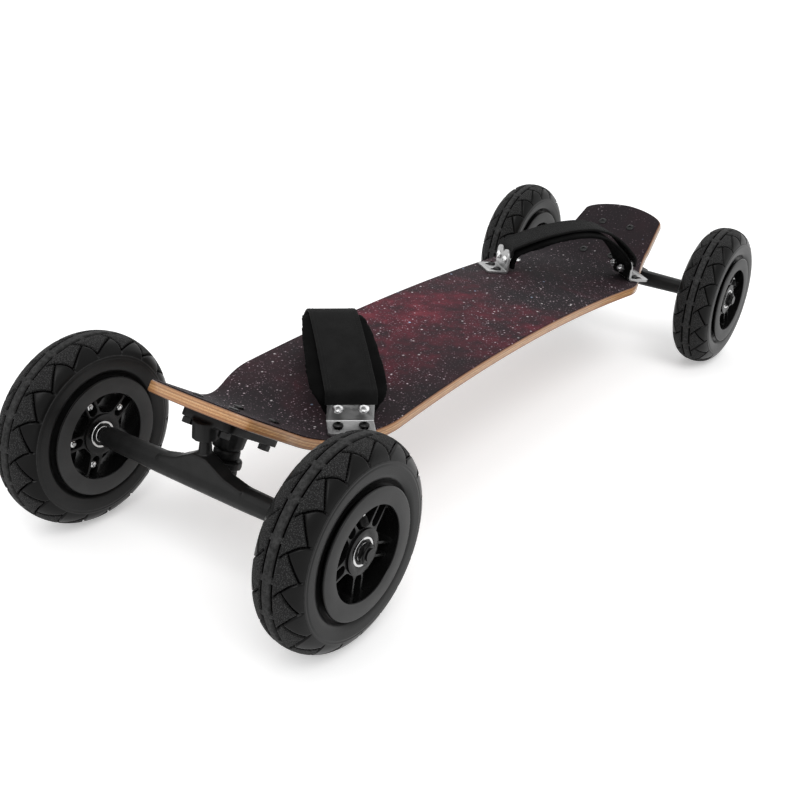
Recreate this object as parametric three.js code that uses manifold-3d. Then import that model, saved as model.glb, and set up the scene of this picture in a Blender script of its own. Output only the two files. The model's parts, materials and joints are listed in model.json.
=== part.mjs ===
// A mountainboard: a cambered deck with kicked tips, two skateboard-style trucks,
// four pneumatic tyres on split five-spoke hubs, and two strap bindings.
// Millimetres. +X runs to the front tip, +Y to the left, +Z up, origin on the ground.

import * as THREE from 'three';
import { mergeVertices } from 'three/addons/utils/BufferGeometryUtils.js';
import Module from 'manifold-3d';

const wasm = await Module();
wasm.setup();

const DEG = Math.PI / 180;

// Clearances
const SEAT_GAP = 0.3;
const CUT_OVERRUN = 2;

// Wheelbase and tyres
const WHEELBASE = 896.7;
const TRACK = 323.2;
const TYRE_RADIUS = 100;
const TYRE_HALF_WIDTH = 27;
const TYRE_WALL = 4.6;
const TYRE_BEAD_RADIUS = 52;
const TREAD_CENTRE = 76.3;
const TREAD_DEPTH = 1.6;
const TREAD_PERIODS = 18;

// Deck: a parabola of camber, then a bend into straight kicked tips that carry the trucks
const AXLE_X = WHEELBASE / 2;
const AXLE_BELOW = 70.69;
const CAMBER_DROP = 16;
const CAMBER_TO_AXLE = 119.45;
const CAMBER_HALF = AXLE_X - CAMBER_TO_AXLE;
const BEND_LENGTH = 64.1;
const KICK_ANGLE = 31.3 * DEG;
const KICK_SLOPE = Math.tan(KICK_ANGLE);
const DECK_PAST_AXLE = 22.85;
const DECK_HALF_LENGTH = AXLE_X + DECK_PAST_AXLE;
const DECK_THICKNESS = 11;
const DECK_WAIST_HALF = 98.3;
const DECK_STANCE_HALF = 101.8;
const DECK_STANCE_X = 0.85 * CAMBER_HALF;
const TIP_TO_AXLE = 42.45;
const TIP_START_X = AXLE_X - TIP_TO_AXLE;
const TIP_START_HALF = 67.4;
const TIP_END_HALF = 61.5;
const TIP_CROWN = 12.6;
const GRIP_THICKNESS = 0.8;
const GRIP_INSET = 1;

// Truck, in the plane of its tip: s outward along the tip, n up from the deck's top
const AXLE_RADIUS = 6;
const ARM_RADIUS = 12;
const ARM_END_RADIUS = 10.6;
const ARM_NOSE_RADIUS = 8.2;
const ARM_NOSE = 5;
const BASE_INBOARD = 50;
const BASE_OUTBOARD = 34;
const BASE_HALF_WIDTH = 31;
const BASE_THICKNESS = 9;
const BASE_CORNER = 9;
const BOLT_OUTBOARD = 26;
const BOLT_INBOARD = 38;
const BOLT_HALF_SPACING = 22.5;
const BOLT_RADIUS = 3;
const BOLT_HEAD_RADIUS = 5.6;
const BOLT_HEAD = 1.8;
const BOLT_NUT_RADIUS = 5.8;
const BOLT_NUT = 6;
const PIVOT_S = 23.5;
const PIVOT_DEPTH = 28;
const PIVOT_BALL_RADIUS = 6.5;
const PIVOT_NECK_RADIUS = 5;
const CUP_WALL = 2.7;
const CUP_SKIRT = 4.5;
const BOSS_WALL = 3.4;
const KINGPIN_TILT = 17 * DEG;
const RING_S = -19.2;
const RING_DEPTH = 49.6;
const RING_RADIUS = 16.5;
const RING_BORE = 8;
const RING_THICKNESS = 8;
const KINGPIN_RADIUS = 5;
const KINGPIN_HEAD_RADIUS = 8;
const KINGPIN_HEAD = 6;
const UPPER_BUSHING = 11;
const LOWER_BUSHING = 10;
const BUSHING_RADIUS = 13;
const BUSHING_WAIST = 11.2;
const WASHER_RADIUS = 10.2;
const WASHER = 2;
const KINGPIN_NUT_RADIUS = 9.4;
const KINGPIN_NUT = 8;
const KINGPIN_TAIL = 3;
const SEAT_BOSS_RADIUS = 15;
const SEAT_BOSS_ROOT = 19;
const WEB_FRONT = 10;
const WEB_BACK = 6;
const WEB_SPREAD = 53;
const WEB_PEAK = 28;

// Wheel hub, in two halves that meet in the wheel's middle plane
const RIM_OUTER_RADIUS = 62;
const RIM_OPENING_RADIUS = 44.7;
const RIM_FACE = 29.3;
const RIM_LIP = 3;
const RIM_DRAFT = 1;
const RIM_BED_RADIUS = 49.8;
const RIM_SEGMENTS = 20;
const HUB_RADIUS = 21;
const HUB_FACE = 23.4;
const SPOKES = 5;
const SPOKE_FACE = 21;
const SPOKE_HALF_WIDTH = 7.4;
const SPOKE_RIB = 2.6;
const SPOKE_FLOOR = 7;
const POCKET_ROUND = 7;
const BEARING_RADIUS = 14;
const BEARING_WIDTH = 8;
const SPACER_RADIUS = 9;
const AXLE_NUT_RADIUS = 10;
const AXLE_NUT = 6;
const AXLE_TAIL = 1.6;
const TUBE_RADIUS = 17;
const TUBE_WALL = 1.6;
const TUBE_SEGMENTS = 12;
const TUBE_SIDES = 5;
const VALVE_RADIUS = 3.1;
const VALVE_BORE = 1.2;
const VALVE_LENGTH = 36;
const VALVE_LEAN = 28 * DEG;
const VALVE_SIDE = 5;
const TUBE_SEAT = 3.4;

// Bindings: two L brackets, a strap over them and a pad under it. The left bracket
// stands inboard, the right one next to the bend.
const BRACKET_HEIGHT = 31;
const BRACKET_THICKNESS = 3;
const BRACKET_FOOT = 27;
const BRACKET_BOLT_HEIGHT = 17;
const BRACKET_NOTCH = 3;
const FOOT_CORNER = 4;
const EAR_RADIUS = 10.5;
const EAR_SWEEP = 126 * DEG;
const EAR_SPACING = 25.4;
const STRAP_HOLE_RADIUS = 3.2;
const SLOT_RADIUS = 4;
const SLOT_START = 5;
const SLOT_END = 19;
const STRAP_WIDTH = 51;
const STRAP_THICKNESS = 3;
const STRAP_FOOT = 22;
const PAD_THICKNESS = 7;
const PAD_EDGE = 6;
const PAD_WIDTH = 54;
const PAD_SWELL = 27;
const PAD_GAP = 1.2;
const PAD_SPRING = 25;
const FACING = 42 * DEG;
const ARCH_STEPS = 14;
const BRACKET_TO_BEND = 8.9;
const BINDING_REACH = 125;
const LEFT_EDGE_GAP = 41.8;
const RIGHT_EDGE_GAP = 31.3;
const FRONT_CREST = 71;
const REAR_CREST = 63;

// crestAt is the crest's share of the way from the left bracket to the right one, and
// the powers say how full the arch is on its left and on its right
const bindings = [
  { name: 'rear', turn: -1, crest: REAR_CREST, crestAt: 0.28, powers: [2, 1.35] },
  { name: 'front', turn: 1, crest: FRONT_CREST, crestAt: 0.62, powers: [1.6, 2.2] },
];

const material = (color, roughness, metalness) =>
  new THREE.MeshStandardMaterial({ color, roughness, metalness });
const finishes = {
  wood: material(0xc9925c, 0.55, 0),
  grip: material(0x2a2226, 0.8, 0),
  alloy: material(0x1c1c1e, 0.45, 0.5),
  steel: material(0xb9babd, 0.3, 1),
  darkSteel: material(0x2a2a2c, 0.4, 0.9),
  urethane: material(0x18181a, 0.7, 0),
  tyre: material(0x232326, 0.9, 0),
  hub: material(0x141416, 0.4, 0),
  bracket: material(0xc6c8cb, 0.25, 1),
  strap: material(0x161617, 0.95, 0),
};

// Solids

function solid(geometry) {
  const bare = geometry.clone();
  bare.deleteAttribute('normal');
  bare.deleteAttribute('uv');
  const merged = mergeVertices(bare, 1e-4);
  return new wasm.Manifold(new wasm.Mesh({
    numProp: 3,
    vertProperties: new Float32Array(merged.attributes.position.array),
    triVerts: new Uint32Array(merged.index.array),
  }));
}

function geometryOf(shape) {
  const mesh = shape.getMesh();
  const geometry = new THREE.BufferGeometry();
  geometry.setAttribute('position', new THREE.BufferAttribute(mesh.vertProperties, 3));
  geometry.setIndex(new THREE.BufferAttribute(mesh.triVerts, 1));
  geometry.computeVertexNormals();
  return geometry;
}

function named(name, geometry, finish) {
  const mesh = new THREE.Mesh(geometry, finish);
  mesh.name = name;
  return mesh;
}

// A bar along Z from low to high, placed by a matrix
function bar(radius, low, high, sides, topRadius = radius) {
  const geometry = new THREE.CylinderGeometry(topRadius, radius, high - low, sides);
  geometry.rotateX(Math.PI / 2);
  geometry.translate(0, 0, (low + high) / 2);
  return geometry;
}

// A bar whose flats clear what goes through it
function bore(radius, low, high, sides) {
  return bar((radius + SEAT_GAP) / Math.cos(Math.PI / sides), low, high, sides);
}

// A closed profile of [radius, height] points turned about Z
function turned(profile, segments, close = true) {
  const points = profile.map(([r, h]) => new THREE.Vector2(r, h));
  if (close) points.push(points[0].clone());
  const geometry = new THREE.LatheGeometry(points, segments);
  geometry.rotateX(Math.PI / 2);
  return geometry;
}

function extruded(shape, depth, curveSegments = 6) {
  return new THREE.ExtrudeGeometry(shape, { depth, bevelEnabled: false, curveSegments });
}

// A loft through rings of points, closed at both ends
function lofted(rings) {
  const sides = rings[0].length;
  const position = rings.flat().flatMap((p) => [p.x, p.y, p.z]);
  const index = [];
  for (let i = 0; i + 1 < rings.length; i += 1) {
    for (let j = 0; j < sides; j += 1) {
      const a = i * sides + j;
      const b = i * sides + ((j + 1) % sides);
      index.push(a, b, b + sides, a, b + sides, a + sides);
    }
  }
  const last = (rings.length - 1) * sides;
  for (let j = 1; j + 1 < sides; j += 1) {
    index.push(0, j + 1, j, last, last + j, last + j + 1);
  }
  const geometry = new THREE.BufferGeometry();
  geometry.setAttribute('position', new THREE.Float32BufferAttribute(position, 3));
  geometry.setIndex(index);
  geometry.computeVertexNormals();
  return geometry;
}

// Deck

// The deck's top over the height of its middle
function deckRise(x) {
  const a = Math.abs(x);
  const camber = (d) => -CAMBER_DROP * (d / CAMBER_HALF) ** 2;
  if (a <= CAMBER_HALF) return camber(a);
  const fall = (-2 * CAMBER_DROP) / CAMBER_HALF;
  const bent = Math.min(a - CAMBER_HALF, BEND_LENGTH);
  const past = Math.max(a - CAMBER_HALF - BEND_LENGTH, 0);
  return camber(CAMBER_HALF) + fall * bent
    + ((KICK_SLOPE - fall) * bent ** 2) / (2 * BEND_LENGTH) + KICK_SLOPE * past;
}

// Each truck's origin is on the top of its tip, square above the axle
const TRUCK_X = AXLE_X - AXLE_BELOW * Math.sin(KICK_ANGLE);
const TRUCK_Z = TYRE_RADIUS + AXLE_BELOW * Math.cos(KICK_ANGLE);
const TRUCK_ORIGIN = new THREE.Vector3(TRUCK_X, 0, TRUCK_Z);
const DECK_TOP = TRUCK_Z - deckRise(TRUCK_X);
const deckHeight = (x) => DECK_TOP + deckRise(x);

function deckSlope(x) {
  const a = Math.abs(x);
  const fall = (d) => (-2 * CAMBER_DROP * d) / CAMBER_HALF ** 2;
  const part = Math.min(Math.max(a - CAMBER_HALF, 0) / BEND_LENGTH, 1);
  const start = fall(Math.min(a, CAMBER_HALF));
  return Math.sign(x) * (start + (KICK_SLOPE - start) * part);
}

function deckHalfWidth(x) {
  const a = Math.abs(x);
  const swell = (DECK_STANCE_HALF - DECK_WAIST_HALF) * Math.min(a / DECK_STANCE_X, 1) ** 2;
  const wide = DECK_WAIST_HALF + swell;
  const along = Math.min(Math.max((a - DECK_STANCE_X) / (TIP_START_X - DECK_STANCE_X), 0), 1);
  const ease = along * along * (3 - 2 * along);
  const crownStart = DECK_HALF_LENGTH - TIP_CROWN;
  const taper = Math.min(Math.max((a - TIP_START_X) / (crownStart - TIP_START_X), 0), 1);
  const tip = TIP_START_HALF + (TIP_END_HALF - TIP_START_HALF) * taper;
  return wide + (tip - wide) * ease;
}

// Places along the deck where its sections stand, as shares of each stretch. The last
// camber facet is the flat that a foot stands on, clear of the brackets.
const camberShares = [0, 0.42, 0.84];
const necks = 7;
const bends = 5;
const crownShares = [0, 0.4, 0.75, 0.93, 0.99];

function deckStations() {
  const stations = camberShares.map((share) => share * DECK_STANCE_X);
  for (let i = 0; i < necks; i += 1) {
    stations.push(DECK_STANCE_X + ((TIP_START_X - DECK_STANCE_X) * i) / necks);
  }
  for (let i = 0; i <= bends; i += 1) {
    stations.push(CAMBER_HALF + (BEND_LENGTH * i) / bends);
  }
  stations.push(TIP_START_X);
  const crownStart = DECK_HALF_LENGTH - TIP_CROWN;
  crownShares.forEach((share) => stations.push(crownStart + share * TIP_CROWN));
  const half = [...new Set(stations)].sort((a, b) => a - b);
  return [...half.slice(1).reverse().map((x) => -x), ...half];
}

// The half-width narrows round the crowned end as a flattened arc, a little squarer than
// an ellipse, whose powers are 2 and 0.5
const crownPowers = [2.6, 0.46];

function crownedHalfWidth(x) {
  const into = Math.max(Math.abs(x) - (DECK_HALF_LENGTH - TIP_CROWN), 0) / TIP_CROWN;
  return deckHalfWidth(x) * Math.max(1 - into ** crownPowers[0], 0) ** crownPowers[1];
}

// A sheet that follows the deck's top between two heights measured square to it
function deckSheet(low, high, inset) {
  const shrink = (DECK_HALF_LENGTH - inset) / DECK_HALF_LENGTH;
  const rings = deckStations().map((station) => {
    const x = station * shrink;
    const half = crownedHalfWidth(station) - inset;
    const tilt = Math.atan(deckSlope(x));
    const at = (n, y) => new THREE.Vector3(
      x - n * Math.sin(tilt), y, deckHeight(x) + n * Math.cos(tilt));
    return [at(high, half), at(high, -half), at(low, -half), at(low, half)];
  });
  return lofted(rings);
}

// Truck frame

function truckMatrix(end) {
  const matrix = new THREE.Matrix4().makeRotationZ(end > 0 ? 0 : Math.PI);
  matrix.multiply(new THREE.Matrix4().makeTranslation(TRUCK_ORIGIN));
  return matrix.multiply(new THREE.Matrix4().makeRotationY(-KICK_ANGLE));
}

// A matrix that stands local Z along a direction in the s-n plane
function along(s, n, ds, dn) {
  const length = Math.hypot(ds, dn);
  const up = new THREE.Vector3(ds / length, 0, dn / length);
  const side = new THREE.Vector3(0, 1, 0);
  const front = new THREE.Vector3().crossVectors(side, up);
  return new THREE.Matrix4().makeBasis(front, side, up).setPosition(s, 0, n);
}

const kingpinUp = [Math.sin(KINGPIN_TILT), Math.cos(KINGPIN_TILT)];
const kingpinFrame = along(RING_S, -RING_DEPTH, ...kingpinUp);
const ringTop = RING_THICKNESS / 2;
const seatHeight = ringTop + SEAT_GAP + UPPER_BUSHING + SEAT_GAP;
const plateTop = DECK_THICKNESS + SEAT_GAP;
const plateTopHeight = (RING_DEPTH - plateTop) / Math.cos(KINGPIN_TILT);
const lowerBushingTop = -ringTop - SEAT_GAP;
const washerTop = lowerBushingTop - LOWER_BUSHING - SEAT_GAP;
const nutBottom = washerTop - WASHER - KINGPIN_NUT;

// The web leans from the axle to the pivot
const neckLength = Math.hypot(PIVOT_S, AXLE_BELOW - PIVOT_DEPTH);
const neckDirection = [PIVOT_S / neckLength, (AXLE_BELOW - PIVOT_DEPTH) / neckLength];
const webFrame = along(0, -AXLE_BELOW, ...neckDirection);
const cupFrame = along(PIVOT_S, -PIVOT_DEPTH, ...neckDirection);
const cupInner = PIVOT_BALL_RADIUS + SEAT_GAP;
const cupOuter = cupInner + CUP_WALL;
const cupTop = cupOuter;
const bossBore = cupOuter + SEAT_GAP;

function place(shape, matrix) {
  return shape.transform(matrix.elements);
}

function baseplateGeometry() {
  const outline = new THREE.Shape();
  const [w, i, o, c] = [BASE_HALF_WIDTH, -BASE_INBOARD, BASE_OUTBOARD, BASE_CORNER];
  outline.moveTo(i + c, -w);
  outline.lineTo(o - c, -w).absarc(o - c, -w + c, c, -Math.PI / 2, 0);
  outline.lineTo(o, w - c).absarc(o - c, w - c, c, 0, Math.PI / 2);
  outline.lineTo(i + c, w).absarc(i + c, w - c, c, Math.PI / 2, Math.PI);
  outline.lineTo(i, -w + c).absarc(i + c, -w + c, c, Math.PI, 1.5 * Math.PI);
  const plateGeometry = extruded(outline, BASE_THICKNESS, 3);
  plateGeometry.translate(0, 0, -plateTop - BASE_THICKNESS);
  let plate = solid(plateGeometry);
  const inPlate = plateTopHeight - BASE_THICKNESS / 2;
  const seatBoss = bar(SEAT_BOSS_RADIUS, seatHeight, inPlate, 14, SEAT_BOSS_ROOT);
  plate = plate.add(place(solid(seatBoss), kingpinFrame));
  const bossRadius = bossBore + BOSS_WALL;
  const bossTop = (PIVOT_DEPTH - plateTop - BASE_THICKNESS / 2) / neckDirection[1];
  plate = plate.add(place(solid(bar(bossRadius, -CUP_SKIRT, bossTop, 12)), cupFrame));
  const trim = extruded(outline, BASE_THICKNESS + PIVOT_DEPTH, 3);
  trim.translate(0, 0, -plateTop);
  plate = plate.subtract(solid(trim));
  const socket = bore(cupOuter, -CUP_SKIRT - CUT_OVERRUN, cupTop + SEAT_GAP, 12);
  plate = plate.subtract(place(solid(socket), cupFrame));
  const shank = bore(KINGPIN_RADIUS, 0, plateTopHeight, 12);
  plate = plate.subtract(place(solid(shank), kingpinFrame));
  const headLow = plateTopHeight - KINGPIN_HEAD - 3 * SEAT_GAP - headSink;
  const pocket = bore(KINGPIN_HEAD_RADIUS, headLow, plateTopHeight + headSink + CUT_OVERRUN, 12);
  plate = plate.subtract(place(solid(pocket), kingpinFrame));
  boltPlaces().forEach(([s, y]) => {
    const hole = bore(BOLT_RADIUS, -plateTop - BASE_THICKNESS - CUT_OVERRUN, 0, 6);
    plate = plate.subtract(solid(hole.translate(s, y, 0)));
  });
  return geometryOf(plate);
}

const headSink = KINGPIN_HEAD_RADIUS * Math.tan(KINGPIN_TILT);

function boltPlaces() {
  return [
    [BOLT_OUTBOARD, BOLT_HALF_SPACING], [BOLT_OUTBOARD, -BOLT_HALF_SPACING],
    [-BOLT_INBOARD, BOLT_HALF_SPACING], [-BOLT_INBOARD, -BOLT_HALF_SPACING],
  ];
}

function pivotCupGeometry() {
  const arc = [0, 0.3, 0.65, 1].map((share) => {
    const angle = (share * Math.PI) / 2;
    return [cupInner * Math.cos(angle), cupInner * Math.sin(angle)];
  });
  const mouth = cupInner + CUP_WALL / 2;
  const profile = [[mouth, -CUP_SKIRT], ...arc.slice(0, -1), [0, cupInner],
    [0, cupTop], [cupOuter, cupTop], [cupOuter, -CUP_SKIRT]];
  return turned(profile.reverse(), 12).applyMatrix4(cupFrame);
}

function kingpinGeometry() {
  const headTop = plateTopHeight - headSink - SEAT_GAP;
  const headLow = headTop - KINGPIN_HEAD;
  const tail = nutBottom - KINGPIN_TAIL;
  const profile = [[0, tail], [KINGPIN_RADIUS, tail], [KINGPIN_RADIUS, headLow],
    [KINGPIN_HEAD_RADIUS, headLow], [KINGPIN_HEAD_RADIUS, headTop], [0, headTop]];
  return turned(profile, 12, false).applyMatrix4(kingpinFrame);
}

// A washer with the nut under it, as one piece
function kingpinNutGeometry() {
  const eye = KINGPIN_RADIUS + SEAT_GAP;
  const washer = turned([[eye, washerTop], [eye, washerTop - WASHER],
    [WASHER_RADIUS, washerTop - WASHER], [WASHER_RADIUS, washerTop]], 12);
  const nut = solid(bar(KINGPIN_NUT_RADIUS, nutBottom, washerTop - WASHER / 2, 6))
    .subtract(solid(bore(KINGPIN_RADIUS, nutBottom - CUT_OVERRUN, washerTop, 12)));
  return geometryOf(solid(washer).add(nut)).applyMatrix4(kingpinFrame);
}

function bushingGeometry(low, high) {
  const eye = KINGPIN_RADIUS + SEAT_GAP;
  const middle = (low + high) / 2;
  const profile = [[eye, low], [BUSHING_WAIST, low], [BUSHING_RADIUS, middle],
    [BUSHING_WAIST, high], [eye, high]];
  return turned(profile, 12).applyMatrix4(kingpinFrame);
}

// The web's outline across the truck: a peak that sweeps down into both arms
const webShares = [[0.17, 1], [0.34, 0.71], [0.57, 0.33], [1, 0]];
const webFootShare = 0.9;

// Where the bridge starts and how wide it is, as shares of the ring's radius, and its
// depth on either side of the axle and the neck's root, of the arm's and the neck's own
const bridgeStartShare = 0.75;
const bridgeWidthShare = 1.3;
const bridgeLowShare = 0.6;
const bridgeHighShare = 0.5;
const neckRootShare = 1.5;

function hangerGeometry() {
  const hubFace = TRACK / 2 - HUB_FACE;
  const noseEnd = hubFace - SEAT_GAP;
  const noseStart = noseEnd - ARM_NOSE;
  const profile = [[ARM_RADIUS, 0], [ARM_RADIUS, WEB_SPREAD], [ARM_END_RADIUS, noseStart],
    [ARM_NOSE_RADIUS, noseStart], [ARM_NOSE_RADIUS, noseEnd]];
  const mirrored = profile.slice(1).reverse().map(([r, y]) => [r, -y]);
  const eye = AXLE_RADIUS + SEAT_GAP;
  const ends = [[eye, noseEnd], [eye, -noseEnd]];
  const arms = turned([...mirrored, ...profile, ...ends], 12);
  arms.rotateX(-Math.PI / 2).translate(0, 0, -AXLE_BELOW);
  const web = new THREE.Shape();
  const foot = ARM_RADIUS * webFootShare;
  const rise = WEB_PEAK - foot;
  const side = webShares.map(([across, up]) => [across * WEB_SPREAD, foot + up * rise]);
  web.moveTo(-WEB_SPREAD, 0);
  web.lineTo(WEB_SPREAD, 0);
  side.slice().reverse().forEach(([y, h]) => web.lineTo(y, h));
  side.forEach(([y, h]) => web.lineTo(-y, h));
  const webGeometry = extruded(web, WEB_FRONT + WEB_BACK, 2);
  webGeometry.translate(0, 0, -WEB_BACK).rotateZ(Math.PI / 2).rotateY(Math.PI / 2);
  const body = solid(arms).add(place(solid(webGeometry), webFrame));
  return geometryOf(finishHanger(body));
}

// The bridge from the web to the kingpin's ring, the ring, and the pivot's neck and ball
function finishHanger(body) {
  const reach = AXLE_BELOW - RING_DEPTH;
  const axleAcross = -RING_S * Math.cos(KINGPIN_TILT) + reach * Math.sin(KINGPIN_TILT);
  const axleUp = -RING_S * Math.sin(KINGPIN_TILT) - reach * Math.cos(KINGPIN_TILT);
  const start = RING_RADIUS * bridgeStartShare;
  const bridgeWidth = RING_RADIUS * bridgeWidthShare;
  const bridge = new THREE.Shape();
  bridge.moveTo(start, ringTop);
  bridge.lineTo(start, -ringTop);
  bridge.lineTo(axleAcross - ARM_RADIUS * bridgeLowShare, axleUp);
  bridge.lineTo(axleAcross, axleUp);
  bridge.lineTo(axleAcross + ARM_RADIUS * bridgeHighShare, ringTop * 2);
  bridge.lineTo(RING_RADIUS, ringTop);
  const bridgeGeometry = extruded(bridge, bridgeWidth, 2);
  bridgeGeometry.translate(0, 0, -bridgeWidth / 2).rotateX(Math.PI / 2);
  let whole = body.add(place(solid(bridgeGeometry), kingpinFrame));
  const ring = bar(RING_RADIUS, -ringTop, ringTop, 16);
  whole = whole.add(place(solid(ring), kingpinFrame));
  const boreCut = bar(RING_BORE, -ringTop - RING_RADIUS, ringTop + RING_RADIUS, 12);
  whole = whole.subtract(place(solid(boreCut), kingpinFrame));
  const neckRoot = WEB_PEAK - neckLength - PIVOT_NECK_RADIUS;
  const neck = bar(PIVOT_NECK_RADIUS * neckRootShare, neckRoot, 0, 10, PIVOT_NECK_RADIUS);
  whole = whole.add(place(solid(neck), cupFrame));
  const ball = new THREE.SphereGeometry(PIVOT_BALL_RADIUS, 10, 6).rotateX(Math.PI / 2);
  whole = whole.add(place(solid(ball), cupFrame));
  const axleWay = bore(AXLE_RADIUS, -TRACK / 2, TRACK / 2, 12);
  axleWay.rotateX(Math.PI / 2).translate(0, 0, -AXLE_BELOW);
  return whole.subtract(solid(axleWay));
}

const nutFace = HUB_FACE + SEAT_GAP;

function axleGeometry() {
  const end = TRACK / 2 + nutFace + AXLE_NUT + AXLE_TAIL;
  const geometry = bar(AXLE_RADIUS, -end, end, 16);
  return geometry.rotateX(Math.PI / 2).translate(0, 0, -AXLE_BELOW);
}

// How far the deck's top stands above the plane of the tip, at a place along it
function bendRise(s) {
  const x = TRUCK_ORIGIN.x + s * Math.cos(KICK_ANGLE);
  const plane = TRUCK_ORIGIN.z + s * Math.sin(KICK_ANGLE);
  return (deckHeight(x) - plane) * Math.cos(KICK_ANGLE);
}

// A bolt through grip, deck and baseplate, with its nut under the plate
function truckBoltGeometry(s, y) {
  const lift = bendRise(s - BOLT_HEAD_RADIUS);
  const headLow = GRIP_THICKNESS + 2 * SEAT_GAP + lift;
  const plateBottom = -plateTop - BASE_THICKNESS;
  const nutTop = plateBottom - SEAT_GAP;
  const nutLow = nutTop - BOLT_NUT;
  const profile = [[0, nutLow], [BOLT_NUT_RADIUS, nutLow], [BOLT_NUT_RADIUS, nutTop],
    [BOLT_RADIUS, nutTop], [BOLT_RADIUS, headLow], [BOLT_HEAD_RADIUS, headLow],
    [BOLT_HEAD_RADIUS, headLow + BOLT_HEAD], [0, headLow + BOLT_HEAD]];
  return turned(profile, 6, false).translate(s, y, 0);
}

function truck(end) {
  const group = new THREE.Group();
  group.applyMatrix4(truckMatrix(end));
  const prefix = end > 0 ? 'front' : 'rear';
  const add = (name, geometry, finish) => group.add(named(`${prefix}_${name}`, geometry, finish));
  add('truck_baseplate', baseplateGeometry(), finishes.alloy);
  add('pivot_cup', pivotCupGeometry(), finishes.urethane);
  add('kingpin', kingpinGeometry(), finishes.steel);
  add('kingpin_nut', kingpinNutGeometry(), finishes.steel);
  const upperLow = ringTop + SEAT_GAP;
  add('upper_bushing', bushingGeometry(upperLow, upperLow + UPPER_BUSHING), finishes.urethane);
  const lowerLow = lowerBushingTop - LOWER_BUSHING;
  add('lower_bushing', bushingGeometry(lowerLow, lowerBushingTop), finishes.urethane);
  add('truck_hanger', hangerGeometry(), finishes.alloy);
  add('axle', axleGeometry(), finishes.darkSteel);
  boltPlaces().forEach(([s, y], i) => {
    add(`truck_bolt_${i + 1}`, truckBoltGeometry(s, y), finishes.darkSteel);
  });
  return group;
}

// Wheel, turned about Z with its outer side at +Z

// The tread's rows from the crown to one shoulder, as angles round its section, each
// with the quarters of a period that its zigzag grooves lie on
const treadRows = [[0, []], [22, [0]], [42, [1, 3]], [63, [2]], [84, [2]]];
const treadFullness = 0.93;

// The wall under the shoulder, the bead and the wall's inside, as shares of the half-width
// and of the way from the bead to the crown. The bead's shares across are of its seat.
const wallShares = [[0.94, 0.3], [0.79, 0.24], [0.9, 0.17]];
const beadShares = [[1, 0.05], [0.64, 0]];
const insideShares = [[0.8, 0.3], [0.68, 0.72]];

// Rings of the tyre from its right shoulder over the crown and back along its inside.
// The tread's rings have two points for each point of the others.
function tyreRings() {
  const quarters = TREAD_PERIODS * 4;
  const ring = (count, pointAt) => Array.from({ length: count }, (_, i) => {
    const { radius, across, low = false } = pointAt(i);
    const angle = (2 * Math.PI * i) / count;
    return { at: [radius * Math.cos(angle), radius * Math.sin(angle), across], low };
  });
  const treadRing = ([degrees, grooves], side) => ring(quarters, (i) => {
    const angle = degrees * DEG;
    const low = grooves.includes(i % 4);
    const up = Math.cos(angle) ** treadFullness * (TYRE_RADIUS - TREAD_CENTRE);
    const out = Math.sin(angle) ** treadFullness * TYRE_HALF_WIDTH;
    const sink = low ? TREAD_DEPTH : 0;
    const radius = TREAD_CENTRE + up - sink * Math.cos(angle);
    return { radius, across: side * (out - sink * Math.sin(angle)), low };
  });
  const height = TYRE_RADIUS - TYRE_BEAD_RADIUS;
  const beadSeat = RIM_FACE - RIM_LIP - SEAT_GAP;
  const plainRing = ([share, up], side, width = TYRE_HALF_WIDTH) => ring(quarters / 2, () => (
    { radius: TYRE_BEAD_RADIUS + up * height, across: side * share * width }));
  const crown = ring(quarters / 2, () => ({ radius: TYRE_RADIUS - TYRE_WALL, across: 0 }));
  return [
    ...treadRows.slice(1).reverse().map((row) => treadRing(row, 1)),
    ...treadRows.map((row) => treadRing(row, -1)),
    ...wallShares.map((share) => plainRing(share, -1)),
    ...beadShares.map((share) => plainRing(share, -1, beadSeat)),
    ...insideShares.map((share) => plainRing(share, -1)),
    crown,
    ...insideShares.slice().reverse().map((share) => plainRing(share, 1)),
    ...beadShares.slice().reverse().map((share) => plainRing(share, 1, beadSeat)),
    ...wallShares.slice().reverse().map((share) => plainRing(share, 1)),
  ];
}

// Triangles between two rings, whose shared edges run along the grooves
function ringStrip(upper, lower, upperStart, lowerStart) {
  const coarse = Math.min(upper.length, lower.length);
  const index = [];
  for (let i = 0; i < coarse; i += 1) {
    const on = (ring, start, step) => {
      const stride = ring.length / coarse;
      return start + ((i * stride + step) % ring.length);
    };
    const a = on(upper, upperStart, 0);
    const d = on(lower, lowerStart, 0);
    if (upper.length > lower.length) {
      const [b, e, c] = [on(upper, upperStart, 1), on(upper, upperStart, 2),
        on(lower, lowerStart, 1)];
      index.push(a, d, b, b, d, c, b, c, e);
    } else if (upper.length < lower.length) {
      const [b, c, e] = [on(upper, upperStart, 1), on(lower, lowerStart, 1),
        on(lower, lowerStart, 2)];
      index.push(a, d, c, a, c, b, b, c, e);
    } else {
      const next = (i + 1) % coarse;
      const b = upperStart + next;
      const c = lowerStart + next;
      if (upper[next].low && lower[i].low) index.push(a, d, b, b, d, c);
      else index.push(a, c, b, a, d, c);
    }
  }
  return index;
}

function tyreGeometry() {
  const rings = tyreRings();
  const starts = rings.map((_, i) =>
    rings.slice(0, i).reduce((sum, ring) => sum + ring.length, 0));
  const index = rings.flatMap((ring, i) => {
    const next = (i + 1) % rings.length;
    return ringStrip(ring, rings[next], starts[i], starts[next]);
  });
  const position = rings.flat().flatMap((point) => point.at);
  const geometry = new THREE.BufferGeometry();
  geometry.setAttribute('position', new THREE.Float32BufferAttribute(position, 3));
  geometry.setIndex(index);
  geometry.computeVertexNormals();
  return geometry;
}

const tubeCentre = RIM_BED_RADIUS + TUBE_RADIUS + TUBE_SEAT;

const valveRootShare = 0.8;

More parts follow.
